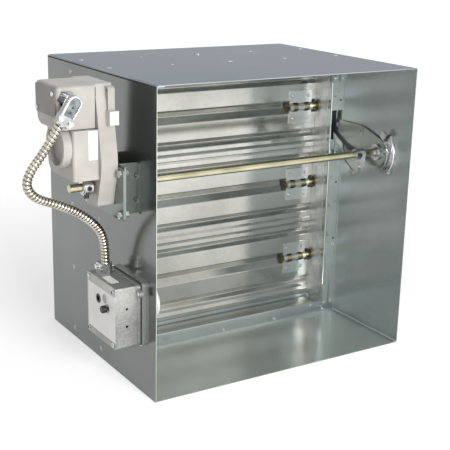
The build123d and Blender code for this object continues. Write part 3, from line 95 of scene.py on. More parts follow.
# ---- small helpers
def linear(hex_colour: str) -> tuple[float, float, float, float]:
    """Turns an sRGB hex colour into linear light.

    Args:
        hex_colour: Six hex digits after a hash sign.

    Returns:
        The colour as linear red, green, blue and an alpha of 1.
    """
    channels = [int(hex_colour[i : i + 2], 16) / 255 for i in (1, 3, 5)]
    lit = [c / 12.92 if c <= 0.04045 else ((c + 0.055) / 1.055) ** 2.4 for c in channels]
    return lit[0], lit[1], lit[2], 1.0


def add_node(
    tree: Tree, kind: str, settings: dict | None = None, links: dict | None = None
) -> bpy.types.Node:
    """Adds one shader node with its settings and its incoming links.

    Args:
        tree: The node tree that gets the node.
        kind: The node's type name.
        settings: Values by attribute name, or by input name where the node has no such attribute. The
            name "stops" stands for a colour ramp's places and colours.
        links: Output sockets by the name or number of the input that each one feeds.

    Returns:
        The new node.
    """
    node = tree.nodes.new(kind)
    for key, value in (settings or {}).items():
        if key == "stops":
            for stop, (place, colour) in zip(node.color_ramp.elements, value):
                stop.position = place
                stop.color = colour
        elif isinstance(key, str) and hasattr(node, key):
            setattr(node, key, value)
        else:
            node.inputs[key].default_value = value
    for key, socket in (links or {}).items():
        tree.links.new(socket, node.inputs[key])
    return node


def new_tree(name: str) -> tuple[Material, Tree]:
    """Starts an empty node material.

    Args:
        name: The material's name.

    Returns:
        The material and its node tree.
    """
    material = bpy.data.materials.new(name)
    material.use_nodes = True
    material.node_tree.nodes.clear()
    return material, material.node_tree


def middle_of(low: Point, high: Point) -> Point:
    """The middle of the box between two corners."""
    return tuple((a + b) / 2 for a, b in zip(low, high))


def turn_to(axis: Point) -> Point:
    """The rotation that turns +Z to an axis, as Euler angles."""
    return tuple(Vector(UP).rotation_difference(Vector(axis)).to_euler())


def clear_selection() -> None:
    """Deselects everything, so that operators act on new pieces alone."""
    if bpy.context.object and bpy.context.object.mode != "OBJECT":
        bpy.ops.object.mode_set(mode="OBJECT")
    bpy.ops.object.select_all(action="DESELECT")


def select_only(piece: Piece) -> None:
    """Makes one piece the only selected one and the active one."""
    clear_selection()
    piece.select_set(True)
    bpy.context.view_layer.objects.active = piece


def settle(piece: Piece) -> None:
    """Moves a piece's place, turn and scale into its mesh."""
    select_only(piece)
    bpy.ops.object.transform_apply(location=True, rotation=True, scale=True)


def on_whole_mesh(piece: Piece, step: Callable[[], object]) -> None:
    """Runs one editing step, which acts on what is selected, on all of a piece's mesh."""
    select_only(piece)
    bpy.ops.object.mode_set(mode="EDIT")
    bpy.ops.mesh.select_all(action="SELECT")
    step()
    bpy.ops.object.mode_set(mode="OBJECT")


def soften(piece: Piece, width: float) -> None:
    """Rounds a piece's sharp edges over a width and smooths its shading."""
    select_only(piece)
    bevel = piece.modifiers.new("edge_round", "BEVEL")
    bevel.width = width
    bevel.segments = 2
    bevel.limit_method = "ANGLE"
    bpy.ops.object.modifier_apply(modifier=bevel.name)
    bpy.ops.object.shade_smooth_by_angle(angle=SMOOTH_BELOW)


def cut_away(piece: Piece, cutter: Piece) -> None:
    """Cuts one piece away from another and removes the cutter."""
    select_only(piece)
    cut = piece.modifiers.new("cut_away", "BOOLEAN")
    cut.operation = "DIFFERENCE"
    cut.object = cutter
    bpy.ops.object.modifier_apply(modifier=cut.name)
    bpy.data.objects.remove(cutter)


def block(name: str, low: Point, high: Point) -> Piece:
    """Adds a box between two corners.

    Args:
        name: The piece's name.
        low: The lowest corner.
        high: The highest corner.

    Returns:
        The box, with its place in its mesh.
    """
    clear_selection()
    bpy.ops.mesh.primitive_cube_add(size=1, location=middle_of(low, high))
    piece = bpy.context.object
    piece.scale = [b - a for a, b in zip(low, high)]
    piece.name = name
    settle(piece)
    return piece


def disc(name: str, centre: Point, axis: Point, radius: float, height: float, sides: int = 24) -> Piece:
    """Adds a short cylinder that stands on a point.

    Args:
        name: The piece's name.
        centre: The middle of its foot.
        axis: The way it stands.
        radius: Its radius.
        height: Its height.
        sides: Its number of sides.

    Returns:
        The cylinder, with its place in its mesh.
    """
    clear_selection()
    middle = Vector(centre) + Vector(axis).normalized() * height / 2
    bpy.ops.mesh.primitive_cylinder_add(
        vertices=sides, radius=radius, depth=height, location=middle, rotation=turn_to(axis)
    )
    piece = bpy.context.object
    piece.name = name
    settle(piece)
    return piece


def discs(places: list[Point], axis: Point, radius: float, height: float) -> list[Piece]:
    """Adds a short cylinder at each place, its foot's middle, all alike."""
    return [disc("disc", place, axis, radius, height) for place in places]


def ring(centre: Point, axis: Point, reach: float, thickness: float, along: int, across: int) -> Piece:
    """Adds a ring with a round section and smooth shading.

    Args:
        centre: The ring's middle.
        axis: The line that it goes round.
        reach: The distance from that line to the section's middle.
        thickness: The section's radius.
        along: Its number of faces along the ring.
        across: Its number of faces round the section.

    Returns:
        The ring, with its place in its mesh.
    """
    clear_selection()
    bpy.ops.mesh.primitive_torus_add(
        major_radius=reach,
        minor_radius=thickness,
        major_segments=along,
        minor_segments=across,
        location=centre,
        rotation=turn_to(axis),
    )
    piece = bpy.context.object
    settle(piece)
    bpy.ops.object.shade_smooth()
    return piece


def merge(name: str, pieces: list[Piece]) -> Piece:
    """Joins pieces into one, named piece.

    Args:
        name: The joined piece's name.
        pieces: The pieces to join.

    Returns:
        The joined piece.
    """
    clear_selection()
    for piece in pieces:
        piece.select_set(True)
    bpy.context.view_layer.objects.active = pieces[0]
    bpy.ops.object.join()
    pieces[0].name = name
    return pieces[0]


def stadium(name: str, first: Vector, second: Vector, axis: Vector, radius: float, height: float) -> Piece:
    """Adds a slab with two round ends.

    Args:
        name: The piece's name.
        first: The middle of one round end's foot.
        second: The middle of the other's.
        axis: The way the slab's thickness runs.
        radius: The ends' radius.
        height: The slab's thickness.

    Returns:
        The slab.
    """
    ends = [disc("end", tuple(foot), tuple(axis), radius, height, sides=32) for foot in (first, second)]
    piece = merge(name, ends)
    on_whole_mesh(piece, bpy.ops.mesh.convex_hull)
    return piece


# ---- finishes
@dataclass(frozen=True)
class Finish:
    """What every finish has: a light and a dark tone as sRGB hex, a gloss and a fine relief."""

    name: str
    light: str
    dark: str
    roughness: float
    metallic: float = 0.0
    edge: str = "#ffffff"  # the tint of a metal's reflections at a slant
    tone_ends: Pair = (0.3, 0.7)  # where the drift reaches the dark and the light tone
    gloss_swing: Pair = (-0.05, 0.05)  # how far the marks move the roughness
    relief: float = 0.15
    relief_height: float = 0.1 * MM

    def stops(self) -> tuple:
        """The dark and the light tone, each with its place on a colour ramp."""
        return (self.tone_ends[0], linear(self.dark)), (self.tone_ends[1], linear(self.light))

    def gloss(self) -> Pair:
        """The least and the most roughness."""
        return self.roughness + self.gloss_swing[0], self.roughness + self.gloss_swing[1]

    def surface(self, tree: Tree, tone: Socket, marks: Socket, waves: Socket) -> None:
        """Ends a material's tree with its gloss, its relief and its shader.

        Args:
            tree: The material's node tree.
            tone: The colour.
            marks: The pattern that the gloss follows.
            waves: The pattern that the relief follows.
        """
        least, most = self.gloss()
        sheen = add_node(tree, "ShaderNodeMapRange", {"To Min": least, "To Max": most}, {"Value": marks})
        height = {"Strength": self.relief, "Distance": self.relief_height}
        bump = add_node(tree, "ShaderNodeBump", height, {"Height": waves})
        shader = add_node(
            tree,
            "ShaderNodeBsdfPrincipled",
            {"Metallic": self.metallic, "Specular Tint": linear(self.edge)},
            {"Base Color": tone, "Roughness": sheen.outputs[0], "Normal": bump.outputs[0]},
        )
        add_node(tree, "ShaderNodeOutputMaterial", {}, {"Surface": shader.outputs[0]})


@dataclass(frozen=True)
class RolledSheet(Finish):
    """Hot-dip galvanised sheet: zinc crystals over rolled steel, a soft and slightly streaked sheen.

    A real sheet's rolling streaks are a fraction of a millimetre wide; they are drawn coarser, to show.
    """

    metallic: float = 0.72
    tone_ends: Pair = (0.36, 0.74)
    gloss_swing: Pair = (-0.02, 0.03)
    relief: float = 0.015
    spangle: float = 7 * MM
    crystal_share: float = 0.10  # how strongly the crystals show in the tone
    cloud: float = 143 * MM
    streak: float = 1.6 * MM
    streak_length: float = 60  # times the streak's width
    along: int = 1  # the rolling direction: 0 for X, 1 for Y, 2 for Z
    outer: float = 1.0  # painted shade: how bright the sheet is drawn left of the X on the next line, 1 for none
    shade_edge_x: float = -250.4 * MM
    shade_blend: float = 0.2 * MM

    def build(self) -> Material:
        """Builds the material: crystals, streaks, a slight cloudiness and painted shade on the outer skin."""
        material, tree = new_tree(self.name)
        place = add_node(tree, "ShaderNodeTexCoord").outputs["Object"]
        crystal = add_node(
            tree, "ShaderNodeTexVoronoi", {"Scale": 1 / self.spangle, "Randomness": 1.0}, {"Vector": place}
        )
        stretch = [1 / self.streak] * 3
        stretch[self.along] = 1 / (self.streak_length * self.streak)
        squeezed = add_node(tree, "ShaderNodeMapping", {"Scale": stretch}, {"Vector": place})
        streaks = add_node(
            tree, "ShaderNodeTexNoise", {"Scale": 1.0, "Detail": 3.0}, {"Vector": squeezed.outputs[0]}
        )
        cloud = add_node(
            tree, "ShaderNodeTexNoise", {"Scale": 1 / self.cloud, "Detail": 2.0}, {"Vector": place}
        )
        grey = add_node(tree, "ShaderNodeSeparateColor", {}, {"Color": crystal.outputs["Color"]})
        mixed = add_node(
            tree,
            "ShaderNodeMath",
            {"operation": "MULTIPLY_ADD", 1: self.crystal_share},
            {0: grey.outputs[0], 2: cloud.outputs["Fac"]},
        )
        tone = add_node(tree, "ShaderNodeValToRGB", {"stops": self.stops()}, {"Fac": mixed.outputs[0]})
        # Painted shade: the faces left of the given X are drawn darker
        across = add_node(tree, "ShaderNodeSeparateXYZ", {}, {"Vector": place})
        start, end = self.shade_edge_x - self.shade_blend, self.shade_edge_x + self.shade_blend
        skin = add_node(
            tree,
            "ShaderNodeMapRange",
            {"From Min": start, "From Max": end, "To Min": self.outer, "To Max": 1.0},
            {"Value": across.outputs["X"]},
        )
        scaled = {0: tone.outputs[0], "Scale": skin.outputs[0]}
        shaded = add_node(tree, "ShaderNodeVectorMath", {"operation": "SCALE"}, scaled)
        self.surface(tree, shaded.outputs[0], streaks.outputs["Fac"], cloud.outputs["Fac"])
        return material


@dataclass(frozen=True)
class Plating(Finish):
    """Plated or bare turned metal: a clean metal with handling marks in its gloss."""

    metallic: float = 1.0
    tone_ends: Pair = (0.35, 0.65)
    gloss_swing: Pair = (0.75, 1.3)  # times the roughness
    relief: float = 0.06
    patch: float = 14 * MM
    marks_per_patch: float = 12

    def gloss(self) -> Pair:
        """The least and the most roughness, in proportion to the metal's own."""
        return self.roughness * self.gloss_swing[0], self.roughness * self.gloss_swing[1]

    def build(self) -> Material:
        """Builds the material, its tint drifting over patches and its gloss broken by fine marks."""
        material, tree = new_tree(self.name)
        place = add_node(tree, "ShaderNodeTexCoord").outputs["Object"]
        drift = add_node(
            tree, "ShaderNodeTexNoise", {"Scale": 1 / self.patch, "Detail": 2.0}, {"Vector": place}
        )
        fine = {"Scale": self.marks_per_patch / self.patch, "Detail": 4.0}
        marks = add_node(tree, "ShaderNodeTexNoise", fine, {"Vector": place}).outputs["Fac"]
        tone = add_node(tree, "ShaderNodeValToRGB", {"stops": self.stops()}, {"Fac": drift.outputs["Fac"]})
        self.surface(tree, tone.outputs[0], marks, marks)
        return material


@dataclass(frozen=True)
class Coating(Finish):
    """Paint, plastic, rubber or film: a coloured skin with a fine grain."""

    relief_height: float = 0.2 * MM
    grain: float = 0.9 * MM
    drift: float = 45.5 * MM

    def build(self) -> Material:
        """Builds the material, its colour slightly uneven and its skin finely grained."""
        material, tree = new_tree(self.name)
        place = add_node(tree, "ShaderNodeTexCoord").outputs["Object"]
        grain = add_node(
            tree, "ShaderNodeTexNoise", {"Scale": 1 / self.grain, "Detail": 2.0}, {"Vector": place}
        ).outputs["Fac"]
        drift = add_node(
            tree, "ShaderNodeTexNoise", {"Scale": 1 / self.drift, "Detail": 3.0}, {"Vector": place}
        )
        tone = add_node(tree, "ShaderNodeValToRGB", {"stops": self.stops()}, {"Fac": drift.outputs["Fac"]})
        self.surface(tree, tone.outputs[0], grain, grain)
        return material


# Galvanised sleeve sheet, as rolled: flat crystals and a soft grey-green sheen. It is drawn lighter than
# the top sheet, painted light on the floor, and its outer skin carries painted shade, so that the left
# wall stays darker than the floor.
LEFT_SHEET_LIT_AND_SHADED = RolledSheet("galvanised_sleeve_left_lit_and_shaded", "#ced5d1", "#c1c8c4", 0.18, metallic=0.8, outer=0.3)
# The same sheet on top and on the right, drawn greyer: painted shade on the top and the inner right wall.
# Bluish where it is seen at a slant.
TOP_SHEET_SHADED = RolledSheet("galvanised_sleeve_top_shaded", "#b3bbbc", "#a6aeb0", 0.21, edge="#848d99")
# Galvanised frame channel: a bright and even sheen, its streaks running up and down
FRAME_SHEET = RolledSheet("galvanised_frame_sheet", "#bac0be", "#aab0ae", 0.2, metallic=0.88, along=2)
# Galvanised blade sheet: a shade warmer and the smoothest, so that each fold has its own clear tone
BLADE_SHEET = RolledSheet("galvanised_blade_sheet", "#c1c1bb", "#a9a9a2", 0.13, metallic=0.95, along=0)
# Pressed galvanised clips: paler than the blade, with small crystals
CLIP_SHEET = RolledSheet("galvanised_clip_sheet", "#d0d3d0", "#bdc0bc", 0.22, metallic=0.9, spangle=4 * MM)
# Heavy galvanised plate: plain mid grey
BRACKET_SHEET = RolledSheet("galvanised_bracket_plate", "#aab1ad", "#9aa19d", 0.2, metallic=0.88)
# Galvanised channel and plate behind the actuator: the darkest sheet, painted shade from the actuator
CHANNEL_SHEET_SHADED = RolledSheet("galvanised_channel_shaded", "#7f8682", "#6e7571", 0.22, metallic=0.85)
# Zinc-plated box sheet: dark clouds on pale grey, with a blurred gloss
BOX_SHEET = RolledSheet("zinc_box_sheet", "#b9b9b5", "#6c6c69", 0.3, metallic=0.75, spangle=3 * MM)
# Yellow-passivated zinc on a turned shaft: pale straw, with a long clear highlight
YELLOW_ZINC = Plating("yellow_zinc_plate", "#d0cbac", "#b3ad90", 0.2, patch=60 * MM)
# The same plating on the stub axles: deeper and duller
AXLE_ZINC = Plating("axle_yellow_zinc", "#b3a97f", "#988e69", 0.32, patch=12 * MM)
# Clear-passivated zinc on screws, links and arms: cool and bright
CLEAR_ZINC = Plating("clear_zinc_plate", "#d5d6d6", "#b2b4b6", 0.22)
# Zinc drawn nearly white: painted light on the sensor cup and its rim, and a painted highlight on the
# floor seam's edge
LIT_ZINC = Plating("zinc_plate_painted_light", "#dadcdb", "#c9cccb", 0.28, metallic=0.55)
# Sintered bronze bushings: dull brown
BRONZE = Plating("sintered_bronze", "#8d8471", "#6f6757", 0.45)
# Stainless strip, cold rolled: pale and even
STAINLESS = Plating("stainless_strip", "#dcdddd", "#c7c9ca", 0.3)
# Polished and plated die casting: sharp reflections
CHROME = Plating("bright_die_casting", "#aeb0af", "#8f9291", 0.12)
# The elbow's sunk panel, the same plating drawn dark and glossy: a painted dark reflection
ELBOW_PANEL_SHADED = Plating("elbow_panel_painted_reflection", "#7c8081", "#565a5c", 0.16, patch=9 * MM)
# Painted shade inside a screw's recess, a hole or a joint between castings: near black
DARK_RECESS = Coating("dark_recess", "#26282a", "#1c1e1f", 0.4, relief=0.05)
# Shaded strip between the conduit's ribs: brown-grey
GROOVE = Plating("conduit_groove", "#78726a", "#5b564e", 0.35)
# Zinc-coated strip wound into conduit: warm, bright ribs
CONDUIT_STRIP = Plating("wound_zinc_strip", "#d2cdc0", "#b3ac9d", 0.18, patch=30 * MM)
# Blued spring strip: dark blue-grey
SPRING_STEEL = Plating("blued_spring_strip", "#5c6168", "#40444c", 0.35)
# Drawn steel motor can: satin grey
MOTOR_STEEL = Plating("motor_can_steel", "#a5a6a6", "#8d8f90", 0.35)
# Painted die casting: warm light grey with a fine cast grain
CAST_PAINT = Coating("die_casting_paint", "#b0aca6", "#9e9a94", 0.3, grain=1.1 * MM)
# Painted pressed plate: darker and warmer than the castings
COVER_PAINT = Coating("cover_plate_paint", "#817d76", "#74706a", 0.38)
# Moulded pale plastic: off-white with a broad highlight
CLIP_PLASTIC = Coating("clip_moulding", "#cdcdc9", "#c0c0bb", 0.45)
# Moulded black plastic: near black with a soft highlight
BLACK_PLASTIC = Coating("black_moulding", "#1b1b1c", "#121213", 0.38, grain=0.6 * MM)
# Moulded grey lens: smooth and glossy
GREY_LENS = Coating("grey_lens", "#a5a7a8", "#979a9c", 0.18, relief=0.03)
# Foam gasket: dark, matt and coarse. On the strips in the left wall's top seam and under the blades' lips it
# is painted shade, drawn as sealant and seals.
GASKET = Coating("foam_gasket", "#2b2f2d", "#1f2221", 0.8, grain=1.5 * MM, relief=0.4)
# Bare label film: plain satin white
LABEL_FILM = Coating("bare_label_film", "#f4f3f0", "#edece9", 0.5, relief=0.02)


@cache
def material_of(finish: Finish) -> Material:
    """Builds a finish's material at its first use and hands out the same one after that."""
    return finish.build()


NODES_BY_FINISH: tuple[tuple[Finish, str], ...] = (
    (LEFT_SHEET_LIT_AND_SHADED, "sleeve_left_bottom"),
    (TOP_SHEET_SHADED, "sleeve_top_right"),
    (FRAME_SHEET, "jamb_left jamb_right sill head corner_gussets blade_stops"),
    (BRACKET_SHEET, "bearing_bracket"),
    (CHANNEL_SHEET_SHADED, "actuator_channels actuator_plate"),
    (BOX_SHEET, "control_box box_cover"),
    (CLIP_SHEET, "box_plate"),
    (YELLOW_ZINC, "jackshaft tie_bar"),
    (CLEAR_ZINC, "jackshaft_bearing stop_quadrant mechanism_screws crank_arm crank_pin drive_link"),
    (CLEAR_ZINC, "actuator_hub retaining_ring actuator_bolts fitting_screws box_connector box_screws"),
    # The sensor cup is drawn near white: painted light
    (LIT_ZINC, "sensor_cup"),
    (STAINLESS, "jamb_seals heat_sensor"),
    (BRONZE, "shaft_bushings"),
    (CHROME, "elbow_connector"),
    (CONDUIT_STRIP, "flexible_conduit"),
    (SPRING_STEEL, "return_spring"),
    (MOTOR_STEEL, "drive_motor"),
    (CAST_PAINT, "gear_case spring_housing spring_drum motor_cover"),
    (COVER_PAINT, "cover_plate"),
    (CLIP_PLASTIC, "actuator_clip"),
    (BLACK_PLASTIC, "hub_screws switch_body reset_button test_socket"),
    (GREY_LENS, "indicator_lens"),
    (GASKET, "box_gasket"),
)
NODE_FINISHES = {node: finish for finish, nodes in NODES_BY_FINISH for node in nodes.split()}
for number in BLADES:
    NODE_FINISHES[f"blade_{number}"] = BLADE_SHEET
    NODE_FINISHES[f"axle_clips_{number}"] = CLIP_SHEET
    NODE_FINISHES[f"stub_axles_{number}"] = AXLE_ZINC
    NODE_FINISHES[f"blade_crank_{number}"] = CLEAR_ZINC


def finish_nodes() -> None:
    """Gives every carried-over node its finish."""
    for name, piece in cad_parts.items():
        material = material_of(NODE_FINISHES[name])
        for number in range(len(piece.material_slots)):
            piece.material_slots[number].material = material
        LOG.info("%s finished in %s", name, material.name)


def dress(piece: Piece, finish: Finish, body: Body = Body.SLEEVE) -> None:
    """Gives a new piece its finish and the body that it rides on."""
    piece.data.materials.clear()
    piece.data.materials.append(material_of(finish))
    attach(piece, body.value)
    LOG.info("%s rides on %s", piece.name, body.value)


# ---- conduit
@dataclass
class FlexibleConduit:
    """Wound steel conduit, 3/8 in trade size, from the elbow to the control box.

    The route is in millimetres: off the left wall, behind the sleeve's front edge, and up.
    """

    left_wall: float
    front_edge: float
    diameter: float = 14.3 * MM
    rib_pitch: float = 6.2 * MM
    rib_depth: float = 1.7 * MM
    rib_sharpness: float = 1.6  # 1 is a plain wave, more makes the grooves narrow
    groove_below: float = -0.8  # the height on the wave under which the strip is in shade
    sides: int = 28
    steps_per_rib: int = 8
    curve_order: int = 3
    curve_steps: int = 24
    smooth_below: float = math.radians(60)
    route: list[Point] = field(
        default_factory=lambda: [
            (124.2, 52.7, 452.2),
            (145.2, 56.2, 416.0),
            (177.2, 73.2, 366.0),
            (163.7, 79.7, 335.5),
            (117.2, 89.2, 317.0),
            (77.2, 98.2, 295.5),
            (41.2, 107.2, 264.0),
            (29.2, 115.7, 230.0),
            (26.7, 120.7, 197.0),
        ]
    )

    def points(self) -> list[Vector]:
        """The route's points, turned into places in the frame."""
        return [
            Vector((self.left_wall - off * MM, self.front_edge + behind * MM, height * MM))
            for off, behind, height in self.route
        ]

    def middle_line(self) -> list[Vector]:
        """Reads points along the smooth spline that the route controls.

        Returns:
            Points along the conduit's middle line, close together.
        """
        curve = bpy.data.curves.new("conduit_line", "CURVE")
        curve.dimensions = "3D"
        spline = curve.splines.new("NURBS")
        points = self.points()
        spline.points.add(len(points) - 1)
        for point, place in zip(spline.points, points):
            point.co = (*place, 1.0)
        spline.order_u = self.curve_order
        spline.use_endpoint_u = True
        spline.resolution_u = self.curve_steps
        carrier = bpy.data.objects.new("conduit_line", curve)
        bpy.context.collection.objects.link(carrier)
        mesh = bpy.data.meshes.new_from_object(carrier)
        line = [vertex.co.copy() for vertex in mesh.vertices]
        bpy.data.objects.remove(carrier)
        bpy.data.meshes.remove(mesh)
        return line

    def stations(self, line: list[Vector]) -> list[tuple[float, Vector]]:
        """Walks the middle line in even steps.

        Args:
            line: Points along the middle line.

        Returns:
            Each station's distance from the start and its place.
        """
        lengths = [0.0]
        for before, after in zip(line, line[1:]):
            lengths.append(lengths[-1] + (after - before).length)
        count = int(lengths[-1] / (self.rib_pitch / self.steps_per_rib))
        walked = []
        index = 0
        for number in range(count + 1):
            target = lengths[-1] * number / count
            while index < len(lengths) - 2 and lengths[index + 1] < target:
                index += 1
            share = (target - lengths[index]) / (lengths[index + 1] - lengths[index])
            walked.append((target, line[index].lerp(line[index + 1], min(share, 1.0))))
        return walked

    def wave(self, along: float, angle: float) -> float:
        """The wound strip's height at a place: 1 on top of a rib and -1 at the bottom of a groove."""
        return math.cos(2 * math.pi * along / self.rib_pitch + angle)

    def skin(self, walked: list[tuple[float, Vector]]) -> list[tuple[float, ...]]:
        """Places a ring of points round each station, its radius following the wave."""
        vertices = []
        side = Vector(UP).cross(walked[1][1] - walked[0][1]).normalized()
        for number, (along, place) in enumerate(walked):
            ahead = walked[min(number + 1, len(walked) - 1)][1]
            behind = walked[max(number - 1, 0)][1]
            forward = (ahead - behind).normalized()
            side = (side - forward * side.dot(forward)).normalized()
            other = forward.cross(side)
            for turn in range(self.sides):
                angle = 2 * math.pi * turn / self.sides
                depth = (0.5 - 0.5 * self.wave(along, angle)) ** self.rib_sharpness
                radius = self.diameter / 2 - self.rib_depth * depth
                vertices.append(tuple(place + (side * math.cos(angle) + other * math.sin(angle)) * radius))
        return vertices

    def faces(self, rings: int) -> list[tuple[int, ...]]:
        """Joins neighbouring rings of points by faces and closes both ends, the two ends coming last."""
        faces = []
        for start in range(0, (rings - 1) * self.sides, self.sides):
            for turn in range(self.sides):
                here = start + turn
                beside = start + (turn + 1) % self.sides
                faces.append((here, beside, beside + self.sides, here + self.sides))
        faces.append(tuple(reversed(range(self.sides))))
        faces.append(tuple(range((rings - 1) * self.sides, rings * self.sides)))
        return faces

    def build(self) -> None:
        line = self.middle_line()
        walked = self.stations(line)
        mesh = bpy.data.meshes.new("flexible_conduit_strip")
        mesh.from_pydata(self.skin(walked), [], self.faces(len(walked)))
        mesh.update()
        piece = bpy.data.objects.new("flexible_conduit_strip", mesh)
        bpy.context.collection.objects.link(piece)
        on_whole_mesh(piece, lambda: bpy.ops.mesh.normals_make_consistent(inside=False))
        bpy.ops.object.shade_smooth_by_angle(angle=self.smooth_below)
        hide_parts("flexible_conduit")
        dress(piece, CONDUIT_STRIP)
        piece.data.materials.append(material_of(GROOVE))
        for face in mesh.polygons[: (len(walked) - 1) * self.sides]:
            number, turn = divmod(face.index, self.sides)
            if self.wave(walked[number][0], 2 * math.pi * turn / self.sides) < self.groove_below:
                face.material_index = 1


# ---- bare plates and stickers
@dataclass
class BarePlates:
    """The plates and stickers that carry print on a real one, left bare here."""

    film: float = 0.3 * MM
    front_y: Pair = (1 * MM, 3.5 * MM)  # the front plate's margins on the cover, low side and high side
    front_z: Pair = (11.5 * MM, 14.5 * MM)
    # The nodes that come through the front plate, each with the gap round it
    openings: tuple[tuple[str, float], ...] = (
        ("reset_button", 1.5 * MM),
        ("indicator_lens", 0.4 * MM),
        ("test_socket", 0.4 * MM),
    )
    cut: float = 3 * MM
    sticker_x: Pair = (6 * MM, 20 * MM)  # where it starts and ends, from the cover's lowest corner
    sticker_y: Pair = (26 * MM, 61 * MM)
    housing_x: Pair = (16 * MM, 2 * MM)  # the same, before the housing's highest corner
    housing_z: Pair = (45 * MM, 1.5 * MM)

    def build(self) -> None:
        """Builds the box's front plate, its sticker and the plate on the spring housing."""
        low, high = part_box("box_cover")
        front = block(
            "box_front_plate",
            (low[0] - self.film, low[1] + self.front_y[0], low[2] + self.front_z[0]),
            (low[0], high[1] - self.front_y[1], high[2] - self.front_z[1]),
        )
        for node, gap in self.openings:
            part_low, part_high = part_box(node)
            _, y, z = middle_of(part_low, part_high)
            radius = (part_high[1] - part_low[1]) / 2 + gap
            start = (low[0] - self.cut, y, z)
            cut_away(front, disc("cutter", start, TO_RIGHT, radius, 2 * self.cut, sides=40))
        sticker = block(
            "box_top_sticker",
            (low[0] + self.sticker_x[0], low[1] + self.sticker_y[0], high[2]),
            (low[0] + self.sticker_x[1], low[1] + self.sticker_y[1], high[2] + self.film / 2),
        )
        low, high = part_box("spring_housing")
        housing = block(
            "housing_plate",
            (high[0] - self.housing_x[0], low[1] - self.film, high[2] - self.housing_z[0]),
            (high[0] - self.housing_x[1], low[1], high[2] - self.housing_z[1]),
        )
        for plate in (front, sticker, housing):
            dress(plate, LABEL_FILM)


# ---- fittings
@dataclass
class ElbowFace:
    """The angled connector's screwed cover: bright rim, dark panel of painted reflection, two screw holes."""

    knuckle: Point = (-360.025 * MM, -153.0 * MM, 478.0 * MM)
    outlet: Point = (-36.0, 6.0, -62.0)
    radius: float = 10.5 * MM
    sink: float = 0.72  # the cover's foot, out from the knuckle, as a share of the radius
    length: float = 21 * MM
    rim_height: float = 4.2 * MM
    rim_width: float = 2.2 * MM
    cut_height: float = 8 * MM
    cut_lap: float = 1 * MM
    panel_inset: float = 2 * MM
    panel_height: float = 3 * MM
    holes: Pair = (7 * MM, 15 * MM)
    hole_radius: float = 1.7 * MM
    hole_height: float = 0.3 * MM

    def build(self) -> None:
        """Builds the rim, the panel and the holes on the connector's front."""
        along = Vector(self.outlet).normalized()
        ahead = Vector(TO_FRONT)
        ahead = (ahead - along * ahead.dot(along)).normalized()
        foot = Vector(self.knuckle) + ahead * self.radius * self.sink
        far = foot + along * self.length
        rim = stadium("elbow_rim", foot, far, ahead, self.radius, self.rim_height)
        below = -ahead * self.cut_lap
        hollow = stadium(
            "hollow", foot + below, far + below, ahead, self.radius - self.rim_width, self.cut_height
        )
        cut_away(rim, hollow)
        soften(rim, 0.6 * MM)
        dress(rim, CLEAR_ZINC)
        panel = stadium("elbow_panel", foot, far, ahead, self.radius - self.panel_inset, self.panel_height)
        # The panel drawn dark: a painted dark reflection
        dress(panel, ELBOW_PANEL_SHADED)
        places = [tuple(foot + along * place + ahead * self.panel_height) for place in self.holes]
        # Dark discs in the screw holes: painted shade
        holes = merge("elbow_screw_holes", discs(places, tuple(ahead), self.hole_radius, self.hole_height))
        dress(holes, DARK_RECESS)


@dataclass
class DriveRecesses:
    """Dark cross recesses on the control box's cover screws, painted shade, and dark caps over two of them.
    """

    inset: float = 7.0 * MM
    bar: Pair = (1.6 * MM, 0.5 * MM)  # half the length and half the width
    bar_height: float = 0.6 * MM
    proud: float = 0.05 * MM
    cap_radius: float = 2.5 * MM
    cap_height: float = 0.5 * MM
    cap_sink: float = 0.2 * MM

    def build(self) -> None:
        """Builds a recess on each of the four heads and a cap on the two at opposite corners."""
        low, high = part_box("box_cover")
        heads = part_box("box_screws")[0][0]
        rows_y = (low[1] + self.inset, high[1] - self.inset)
        rows_z = (low[2] + self.inset, high[2] - self.inset)
        face = heads - self.proud
        recesses = []
        for y, z in product(rows_y, rows_z):
            for half_y, half_z in (self.bar, self.bar[::-1]):
                corner = (face + self.bar_height, y + half_y, z + half_z)
                recesses.append(block("bar", (face, y - half_y, z - half_z), corner))
        corners = [(heads + self.cap_sink, y, z) for y, z in zip(rows_y, reversed(rows_z))]
        recesses += discs(corners, TO_LEFT, self.cap_radius, self.cap_height)
        piece = merge("cover_screw_recesses", recesses)
        dress(piece, DARK_RECESS)


